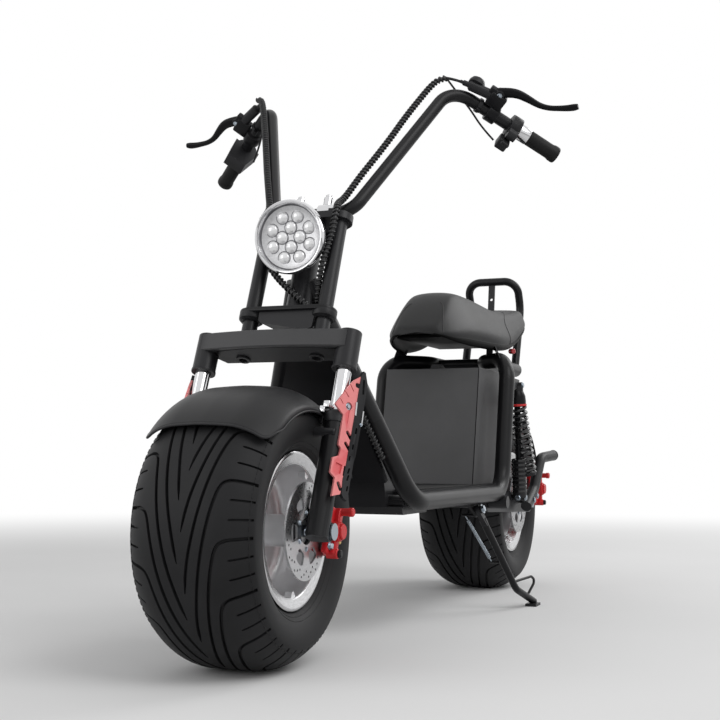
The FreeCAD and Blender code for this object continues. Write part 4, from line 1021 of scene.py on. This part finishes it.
def guards():
    """The black slotted rails, the coral toothed plates on them, and their posts and bolts."""
    rails, cheeks, rail_holes, cheek_holes = (bmesh.new() for _ in range(4))
    clips, posts, bolts, tees = (bmesh.new() for _ in range(4))
    guard_plate(rails, GUARD_RAIL, -2.5, 4.0)
    for start, stop, radius in (((5, 270), (2, 247), 2.2), ((3, 180), (3, 172), 1.9),
                                ((-1, 105), (-1, 97), 1.8),
                                ((-4, 92), (-4, 84), 1.8), ((4, 150), (4, 143), 1.6),
                                ((6, 128), (5, 121), 1.6),
                                ((-9, 72), (-10, 65), 1.6)):
        guard_plate(rail_holes, slot(start, stop, radius), -6, 8)
    guard_plate(cheeks, GUARD_TEETH, -0.5, 3.2)
    guard_plate(cheeks, GUARD_BACK, -4.5, -2.9)
    for start, stop, radius in (((17, 257), (12, 257), 4.6), ((20, 167), (12, 160), 3.6),
                                ((20, 147), (11, 140), 3.6),
                                ((11, 72), (3, 63), 3.4), ((9, 106), (6, 90), 1.8),
                                ((27, 213), (27.1, 213), 7.2),
                                ((32, 252), (23, 243), 0.9), ((41, 236), (31, 229), 0.9),
                                ((48, 219), (41, 213), 0.9)):
        guard_plate(cheek_holes, slot(start, stop, radius), -6, 8)
    guard_plate(cheek_holes, [(29, 107), (15, 107), (13, 89), (27, 89)], 0.8, 8)
    guard_plate(cheek_holes, [(25.6, 206), (24.4, 206), (23.8, 182), (24.6, 182)], 2.0, 8)
    for outline in ([(14.5, 226), (11.5, 226), (9.5, 202), (12.5, 202)],
                    [(-3.5, 216), (-6, 216), (-7, 193), (-4.5, 193)]):
        guard_plate(clips, outline, 2, 5)
    for side in (1, -1):
        facing = (0.436, side * 0.9, 0)
        for reach, height, level, radius in ((27, 213, -0.5, 4.2), (-4, 190, 4, 2.2)):
            hex_bolt(bolts, guard_spot(reach, height, level, side), facing, radius, 3.6, radius * 1.35)
        for height in (104, 168):
            sweep([Vector((guard_spot(2, height).x, side * 150, height)), guard_spot(2, height, -2, side)],
                  6, 16, posts)
        rounded_box((10, 11, 12), 1.2, tees, Matrix.Translation((74, side * 126, 210)))
        rounded_box((9, 10, 12), 1.2, tees, Matrix.Translation((74, side * 119, 201)))
        capsule(tees, (74, side * 128, 209), (60, side * 139, 205), 2.4, 0.6)
    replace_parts(piece("guard_rails", guard_pair(rails, rail_holes), "black_anodised", "steering", STEER, 12),
                "fork_guards")
    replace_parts(piece("guard_teeth", guard_pair(cheeks, cheek_holes), "coral_anodised", "steering",
                      STEER, 12),
                "guard_cheeks")
    piece("guard_clips", guard_pair(clips, bmesh.new()), "disc_steel", "steering", STEER, 30)
    pieces("steering", STEER, ("guard_posts", posts, "bolt_steel"), ("guard_bolts", bolts, "bolt_steel"),
           ("leg_tees", tees, "chrome_plate"))


guards()


# Calipers


def caliper(name, body, place, middle, node, plate, out=0):
    """A two-part caliper round the disc, with its piston housing, hose boss, spine and bolts."""
    x, z = middle
    red, steel, black, brass = (bmesh.new() for _ in range(4))
    for size, bevel, right, y, up in (
            ((36, 12, 76), 4.5, 0, 99, 0), ((35, 13 + out, 82), 4.5, 1, 118.5 + out / 2, 0),
            ((11, 26, 11), 3, -12, 107, -32), ((11, 26, 11), 3, -12, 107, 32),
            ((17, 14, 82), 4, 0, 127 + out, 0)):
        rounded_box(size, bevel, red, Matrix.Translation((x + right, y, z + up)))
    for mesh, right, up, start, stop, *shape in (
            (red, 4, 0, 118, 140 + out, 17, 2.2, 40), (red, 4, 0, 139 + out, 144.5 + out, 13.2, 1.2, 40),
            (red, 0, 36, 118, 149 + out, 6.6), (red, 0, 36, 147 + out, 155 + out, 7.8),
            (red, -2, -37, 118, 138 + out, 8.4), (black, -2, -37, 137 + out, 144 + out, 6.6),
            (brass, -16, 12, 120, 134 + out, 4.6), (brass, -17, -12, 120, 132 + out, 3.8)):
        capsule(mesh, (x + right, start, z + up), (x + right, stop, z + up), *shape)
    for right, up in ((30, -6), (10, -28)):
        capsule(steel, (x + right, 112, z + up), (x + right, 126 + out / 2, z + up), 6.2, 1)
        hex_bolt(steel, (x + right, 125.5 + out / 2, z + up), (0.2, 1, 0), 5.6, 5.5, 7.6)
    prism(black, *([(u, y, w) for u, w in plate] for y in (113.5, 118)))
    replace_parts(piece(name + "_housing", red, "red_paint", body, place, 40), node)
    pieces(body, place, (name + "_bolts", steel, "bolt_steel"), (name + "_bracket", black, "black_anodised"),
           (name + "_fittings", brass, "brass_metal"))


CALIPER_U, CALIPER_W = -39, 24
caliper("front_brake", "steering", STEER, (CALIPER_U, CALIPER_W), "front_caliper",
        [(40, 70), (40, 4), (CALIPER_U + 8, CALIPER_W - 24), (CALIPER_U + 8, CALIPER_W + 24)])
caliper("rear_brake", "frame", HERE, (-784, 261), "rear_caliper",
        [(-770, 290), (-696, 250), (-708, 228), (-770, 244)], 16)


# Handlebar fittings

BAR_BEND, BAR_END = Vector((-95, 203, 990)), Vector((-268, 387, 924))
ALONG = (BAR_END - BAR_BEND).normalized()


def on_bar(distance, side=1):
    """The bar's axis at a distance inwards from its end, in the fork's frame."""
    return sided(BAR_END - ALONG * distance, side)


def lever_frame():
    forwards = (Vector((1, 0, 0)) - ALONG * ALONG.x).normalized()
    upwards = (Vector((0, 0, 1)) - ALONG * ALONG.z - forwards * forwards.z).normalized()
    tilt = math.radians(35)
    return (forwards * math.cos(tilt) + upwards * math.sin(tilt),
            upwards * math.cos(tilt) - forwards * math.sin(tilt))


REACH, RISE = lever_frame()


def turned_on_bar(into, profile, side):
    """A turned piece round the bar, from (radius, distance in from the bar's end)."""
    turned(into, look_along(sided(-ALONG, side), on_bar(0, side)), profile, 48)


def at_lever(inward, out, up, side):
    """A point by its distance in from the bar's end, its reach from the bar and its rise."""
    return on_bar(inward, side) + sided(REACH, side) * out + sided(RISE, side) * up


LEVER = [
    # distance in from the bar's end, reach, half depth
    (182, 44, 10), (166, 56, 11), (146, 68, 9.8), (120, 71, 7.8), (96, 72, 6.2), (76, 79, 5.6), (59, 91, 5.8),
    (45, 102, 6.8), (35, 112, 7.6), (31, 117, 5.6)]


def lever_blade(into, side):
    """A flattened blade that tapers and ends in a rounded tip."""
    stations = spline_points([(inward, out, half * 10) for inward, out, half in LEVER], 8)
    path = [at_lever(spot.x, spot.y, 0, side) for spot in stations]
    up = sided(RISE, side)
    rows = []
    for index, (point, (tangent, _, _)) in enumerate(zip(path, frames(path))):
        across = tangent.cross(up).normalized()
        half = stations[index].z / 10
        rows.append([into.verts.new(point + across * half * math.cos(math.pi * k / 8)
                                    + up * (2.2 + half * 0.45) * math.sin(math.pi * k / 8))
                     for k in range(16)])
    capped(into, rows)


def bar_block(into, size, bevel, inward, out, up, side):
    """A rounded block square to the bar, sized along the bar, its reach and its rise."""
    turn = Matrix((sided(ALONG, side), sided(REACH, side), sided(RISE, side))).transposed().to_4x4()
    rounded_box(size, bevel, into, Matrix.Translation(at_lever(inward, out, up, side)) @ turn)


def bar_fittings():
    grips, steel, black, chrome, levers = (bmesh.new() for _ in range(5))
    for side in (1, -1):
        profile = [(12.8, 71.5), (15.4, 71.5), (16.0, 70), (15.8, 20), (16.3, 16), (17.4, 12.5), (17.6, 5),
                   (17.0, 2),
                   (15.6, 0.4), (11, 0.1), (11, 3), (12.8, 4)]
        turned_on_bar(grips, profile, side)
        turned_on_bar(steel, [(0.01, -0.4), (9.6, -0.4), (10.9, 0.6), (10.9, 2), (0.01, 2)], side)
        turned_on_bar(chrome, [(12.9, 72), (16.6, 72.6), (17, 74), (17, 94), (16.6, 95.6), (12.9, 96)], side)
        turned_on_bar(levers, [(12.9, 150), (18, 151), (18.6, 153), (18.6, 172), (18, 174), (12.9, 175)],
                      side)
        rise = sided(RISE, side)
        bar_block(levers, (36, 32, 21), 4, 172, 31, 0, side)
        bar_block(levers, (20, 18, 15), 3, 186, 44, 0, side)
        capsule(levers, at_lever(174, 47, 8.5, side), at_lever(174, 47, -8.5, side), 9.5, 1.5)
        hex_bolt(steel, at_lever(174, 47, -8.5, side), -rise, 3.4, 2.4, 5.4)
        lever_blade(levers, side)
        capsule(levers, at_lever(188, 34, 0, side), at_lever(236, 24, 4, side), 10.6, 4)
        capsule(levers, at_lever(234, 24.5, 4, side), at_lever(248, 21, 5, side), 5.6, 1.5)
        capsule(levers, at_lever(246, 21.5, 5, side), at_lever(254, 19.5, 6, side), 3.6, 1)
        turned_on_bar(levers, [(12.9, 190), (15.6, 190.5), (15.8, 198), (12.9, 198.5)], side)
        bar_block(levers, (10, 9, 12), 2, 194, 0, -18, side)
        top = Vector((-77, 196, 1001)) if side > 0 else Vector((-80, -224, 1001))
        hose = [top, (top + at_lever(250, 20, 5.5, side)) / 2 + Vector((0, 0, 2)),
                at_lever(250, 20, 5.5, side)]
        sweep(spline_points([tuple(p) for p in hose], 10), 2.8, 10, black)
        cable = [top, at_lever(240, -2, -6, side), at_lever(205, -12, -12, side),
                 at_lever(165, -26, -24, side),
                 at_lever(132, -32, -30, side)]
        sweep(spline_points([tuple(p) for p in cable], 10), 2.1, 10, black)
    bar_block(black, (24, 24, 26), 3, 114, -26, -30, 1)
    bar_block(black, (18, 8, 18), 2, 112, -16, -44, 1)
    turned_on_bar(black, [(12.9, 97), (23.4, 97.4), (24.4, 99), (24.4, 117), (23.4, 119), (19, 121),
                          (12.9, 121)], 1)
    bell = at_lever(222, 30, 14, 1)
    turned(black, look_along(RISE * 0.8 + REACH * 0.6, bell),
           [(0.01, 14), (8, 13), (14, 9.5), (17, 3.5), (17.4, -2), (14, -3), (0.01, -3)])
    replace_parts(piece("grip_sleeves", grips, "grip_rubber", "steering", STEER), "grips")
    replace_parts(piece("grip_rings", chrome, "chrome_plate", "steering", STEER), "grip_collars")
    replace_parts(piece("lever_sets", levers, "black_anodised", "steering", STEER), "brake_levers")
    piece("bar_screws", steel, "bolt_steel", "steering", STEER)
    piece("bar_switchgear", black, "black_plastic", "steering", STEER)


bar_fittings()


LEG_U, LEG_V = 54, 137


def steering_hardware():
    """Clamp bolts, plate nuts, crown rings, leg fittings, stanchions and the rear axle's nuts."""
    chrome, steel, black, smooth, nuts = (bmesh.new() for _ in range(5))
    for side in (1, -1):
        capsule(chrome, (13.5, side * 29, 648), (13.5, side * 29, 668), 9, 2)
        capsule(chrome, (13.5, side * 29, 667), (13.5, side * 29, 674), 6.5, 1.5)
        hex_bolt(steel, (36, side * 72, 610), (0, 0, 1), 8.5, 6, 12)
        hex_bolt(steel, (36, side * 151, 0), (0, side, 0), 8, 6, 10.4)
        hex_bolt(steel, (LEG_U, side * 118, -8), (0, -side, 0), 5, 4, 7)
        hex_bolt(nuts, (-AXLE_X, side * 138, AXLE_Z), (0, side, 0), 13, 10, 17)
        turned(black, upright(36, side * 72, 319),
               [(8.2, -0.2), (12.4, -0.2), (13.4, -1.8), (12.4, -3.4), (8.2, -3.2)])
        capsule(black, (68, side * 108, 163), (68, side * 147, 162), 7.6, 1.5)
        for mesh, height, profile, count in (
                (black, 286, [(14, -2.5), (21.8, -2.5), (22.2, 0), (21.8, 2.5), (14, 2.5)], 48),
                (black, 198, [(13.7, -5), (20.8, -5), (20.8, 2), (17, 5.5), (13.7, 6)], 48),
                (smooth, 0, [(0.01, 139), (13.5, 139), (13.5, 340.5), (0.01, 340.5)], 72)):
            turned(mesh, upright(LEG_U, side * LEG_V, height), profile, count)
    hex_bolt(steel, (0, 0, 616), (0, 0, 1), 13, 7, 17)
    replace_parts(piece("fork_stanchions", smooth, "chrome_plate", "steering", STEER), "stanchions")
    pieces("steering", STEER, ("clamp_bolts", chrome, "chrome_plate"), ("fork_hardware", steel, "bolt_steel"),
           ("fork_rings", black, "black_paint"))
    piece("rear_axle_nuts", nuts, "bolt_steel", "frame")


steering_hardware()


def hull(into, discs, low, high, bevel):
    """A plate round three or more discs of (x, y, radius), with bevelled edges."""
    spots = []
    for x, y, radius in discs:
        spots += [(x + radius * math.cos(math.pi * k / 16),
                   y + radius * math.sin(math.pi * k / 16)) for k in range(32)]
    spots = sorted(set(spots))
    rims = []
    for order in (spots, spots[::-1]):
        rim = []
        for spot in order:
            while len(rim) > 1 and ((rim[-1][0] - rim[-2][0]) * (spot[1] - rim[-2][1])
                                    - (rim[-1][1] - rim[-2][1]) * (spot[0] - rim[-2][0])) <= 0:
                rim.pop()
            rim.append(spot)
        rims += rim[:-1]
    made = bmesh.new()
    first = [made.verts.new((x, y, low)) for x, y in rims]
    second = [made.verts.new((x, y, high)) for x, y in rims]
    grid_faces(made, [first, second])
    rings = [made.faces.new(first[::-1]), made.faces.new(second)]
    edges = [edge for face in rings for edge in face.edges]
    bmesh.ops.bevel(made, geom=edges, offset=bevel, segments=2, affect="EDGES", profile=0.5)
    merge(into, made)


def fork_plates():
    """The crown's bowed face, and the lower plate with its tube collars and the box under it."""
    face, rows = bmesh.new(), []
    for step in range(33):
        v = -140 + 280 * step / 32
        front = 84 - 8 * (v / 140) ** 2
        loop = [(60, 321), (60, 351), (front - 2, 353), (front, 351), (front, 321), (front - 2, 319)]
        rows.append([face.verts.new((u, v, w)) for u, w in loop])
    capped(face, rows)
    piece("crown_face", face, "crown_paint", "steering", STEER, 25)
    plate = bmesh.new()
    hull(plate, [(0, 0, 26), (36, -72, 23), (36, 72, 23)], 405.5, 413, 1.6)
    turned(plate, upright(0, 0, 0),
           [(0.01, 399), (20, 399), (20, 406), (15, 407), (15, 610), (16, 610), (16, 616), (0.01, 616)], 48)
    for side in (1, -1):
        turned(plate, upright(36, side * 72, 0),
               [(14.2, 392), (18, 392), (22.2, 396), (22.9, 399), (22.9, 408), (14.2, 408)], 48)
    outline = [(52, -50, 407), (52, 62, 407), (50, 58, 372), (50, 48, 368), (50, -44, 384), (50, -50, 390)]
    prism(plate, outline, [(u - 40, v * 0.5, w) for u, v, w in outline])
    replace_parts(piece("fork_plate", plate, "black_paint", "steering", STEER, 30), "lower_plate")


fork_plates()


# Frame fittings


def bevelled(points, shift, bevel):
    """A prism from a flat outline pushed along a shift, with its edges bevelled."""
    made = bmesh.new()
    prism(made, points, [Vector(point) + Vector(shift) for point in points])
    bmesh.ops.recalc_face_normals(made, faces=made.faces)
    bmesh.ops.bevel(made, geom=list(made.edges), offset=bevel, segments=3, affect="EDGES", profile=0.5)
    return made


def frame_fittings():
    """The battery box's case with dark strips painted as shade lines down its front corners, the floor mat,
    gussets under the seat and bolts.
    """
    lean = math.tan(math.radians(11.5)) * 278
    case = bevelled([(-230, -118, 283), (-230 - lean, -118, 561), (-435 - lean, -118, 561),
                     (-435, -118, 283)],
                    (0, 236, 0), 1.6)
    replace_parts(piece("battery_case", case, "box_paint", "frame", angle=12), "battery_box")
    corner_shade_strips, mat, gussets, steel, stand = (bmesh.new() for _ in range(5))
    for step in range(17):
        rounded_box((500, 7, 2.4), 0.9, mat, Matrix.Translation((24, -128 + 16 * step, 284.2)), 2)
    for side in (1, -1):
        # Dark strips down the box's front corners, painted shade for the shade line at the corner edge.
        sweep([Vector((-230, side * 117.6, 285)), Vector((-230 - lean, side * 117.6, 560))], 1.0, 6, corner_shade_strips)
        spots = [(-392, side * 150, 566), (-392, side * 128, 620), (-430, side * 112, 620),
                 (-440, side * 126, 592)]
        prism(gussets, spots, [(x - 3, y + side * 2, z) for x, y, z in spots])
        capsule(gussets, (-806, side * 176, 352), (-812, side * 177, 352.5), 14.6, 3)
        for x, z in ((-590, 237), (-622, 247)):
            hex_bolt(steel, (x, side * 176, z), (0, side, 0), 6, 4, 8)
    facing = Vector((0.02, 0.94, 0.35))
    hex_bolt(stand, Vector((-160, 152, 228)) + facing.normalized() * 10.5, facing, 8, 6, 11)
    pieces("frame", HERE, ("battery_corner_shade_strips", corner_shade_strips, "seat_black"),
           ("floor_mat_ribs", mat, "grip_rubber"),
           ("seat_gussets", gussets, "black_paint"), ("frame_bolts", steel, "bolt_steel"),
           ("stand_bolt", stand, "bolt_steel"))


frame_fittings()


# Camera, floor and light

EYE = Vector((2.5565, 0.9462, 0.3571))
LOOK = Vector((-0.92620, -0.36955, 0.07467)).normalized()
ROLL = math.radians(0.248)


def studio():
    scene = bpy.context.scene
    camera = bpy.data.objects.new("camera", bpy.data.cameras.new("camera"))
    camera.data.lens = 61.88
    camera.data.sensor_width = 36
    right = LOOK.cross(Vector((0, 0, 1))).normalized()
    up = right.cross(LOOK)
    right, up = right * math.cos(ROLL) + up * math.sin(ROLL), up * math.cos(ROLL) - right * math.sin(ROLL)
    camera.matrix_world = Matrix.Translation(EYE) @ Matrix((right, up, -LOOK)).transposed().to_4x4()
    scene.collection.objects.link(camera)
    scene.camera = camera

    made = Nodes("floor")
    made.tree.nodes.remove(made.shader)
    tone = made.ramp(made.noise(1.3, 2.0), (0.3, (0.80, 0.80, 0.80)), (0.7, (0.83, 0.83, 0.83)))
    diffuse = made.add("ShaderNodeBsdfDiffuse", {"Color": tone})
    glow = made.add("ShaderNodeEmission")
    length = made.add("ShaderNodeVectorMath", {0: made.place}, operation="LENGTH").outputs["Value"]
    fade = made.add("ShaderNodeMapRange", {"From Min": 1.6, "From Max": 5.0, "Value": length},
                    interpolation_type="SMOOTHSTEP")
    rays = made.add("ShaderNodeLightPath")
    seen = made.add("ShaderNodeMath", {0: fade.outputs["Result"], 1: rays.outputs["Is Camera Ray"]},
                    operation="MULTIPLY")
    mixed = made.add("ShaderNodeMixShader",
                     {"Fac": seen.outputs[0], 1: diffuse.outputs[0], 2: glow.outputs[0]})
    made.feed(made.tree.nodes["Material Output"].inputs["Surface"], mixed.outputs[0])
    mesh = bpy.data.meshes.new("floor")
    mesh.from_pydata([(-12, -12, 0), (12, -12, 0), (12, 12, 0), (-12, 12, 0)], [], [(0, 1, 2, 3)])
    mesh.materials.append(made.material)
    ground = bpy.data.objects.new("floor", mesh)
    scene.collection.objects.link(ground)

    world = bpy.data.worlds.new("studio")
    world.use_nodes = True
    scene.world = world
    tree = world.node_tree
    sky = tree.nodes["Background"]
    sky.inputs["Color"].default_value = (1, 1, 1, 1)
    sky.inputs["Strength"].default_value = 0.5
    white = tree.nodes.new("ShaderNodeBackground")
    white.inputs["Strength"].default_value = 1.0
    white.inputs["Color"].default_value = (1, 1, 1, 1)
    rays = tree.nodes.new("ShaderNodeLightPath")
    shown = None
    for name in ("Is Glossy Ray", "Is Transmission Ray"):
        largest = tree.nodes.new("ShaderNodeMath")
        largest.operation = "MAXIMUM"
        tree.links.new(shown or rays.outputs["Is Camera Ray"], largest.inputs[0])
        tree.links.new(rays.outputs[name], largest.inputs[1])
        shown = largest.outputs[0]
    mixed = tree.nodes.new("ShaderNodeMixShader")
    tree.links.new(shown, mixed.inputs["Fac"])
    tree.links.new(sky.outputs[0], mixed.inputs[1])
    tree.links.new(white.outputs[0], mixed.inputs[2])
    tree.links.new(mixed.outputs[0], tree.nodes["World Output"].inputs["Surface"])

    for name, spot, aim, size, power in (
            ("key", (1.2, 2.6, 3.2), (0, 0, 0.5), 2.2, 48),
            ("fill", (3.0, -2.2, 1.6), (0.3, 0, 0.5), 2.4, 26),
            ("back", (-2.4, 1.6, 2.4), (-0.3, 0, 0.5), 1.6, 30)):
        lamp = bpy.data.lights.new(name, "AREA")
        lamp.size = size
        lamp.energy = power
        obj = bpy.data.objects.new(name, lamp)
        obj.location = spot
        obj.rotation_euler = (Vector(aim) - Vector(spot)).to_track_quat("-Z", "Y").to_euler()
        scene.collection.objects.link(obj)
    scene.view_settings.view_transform = "Standard"


studio()
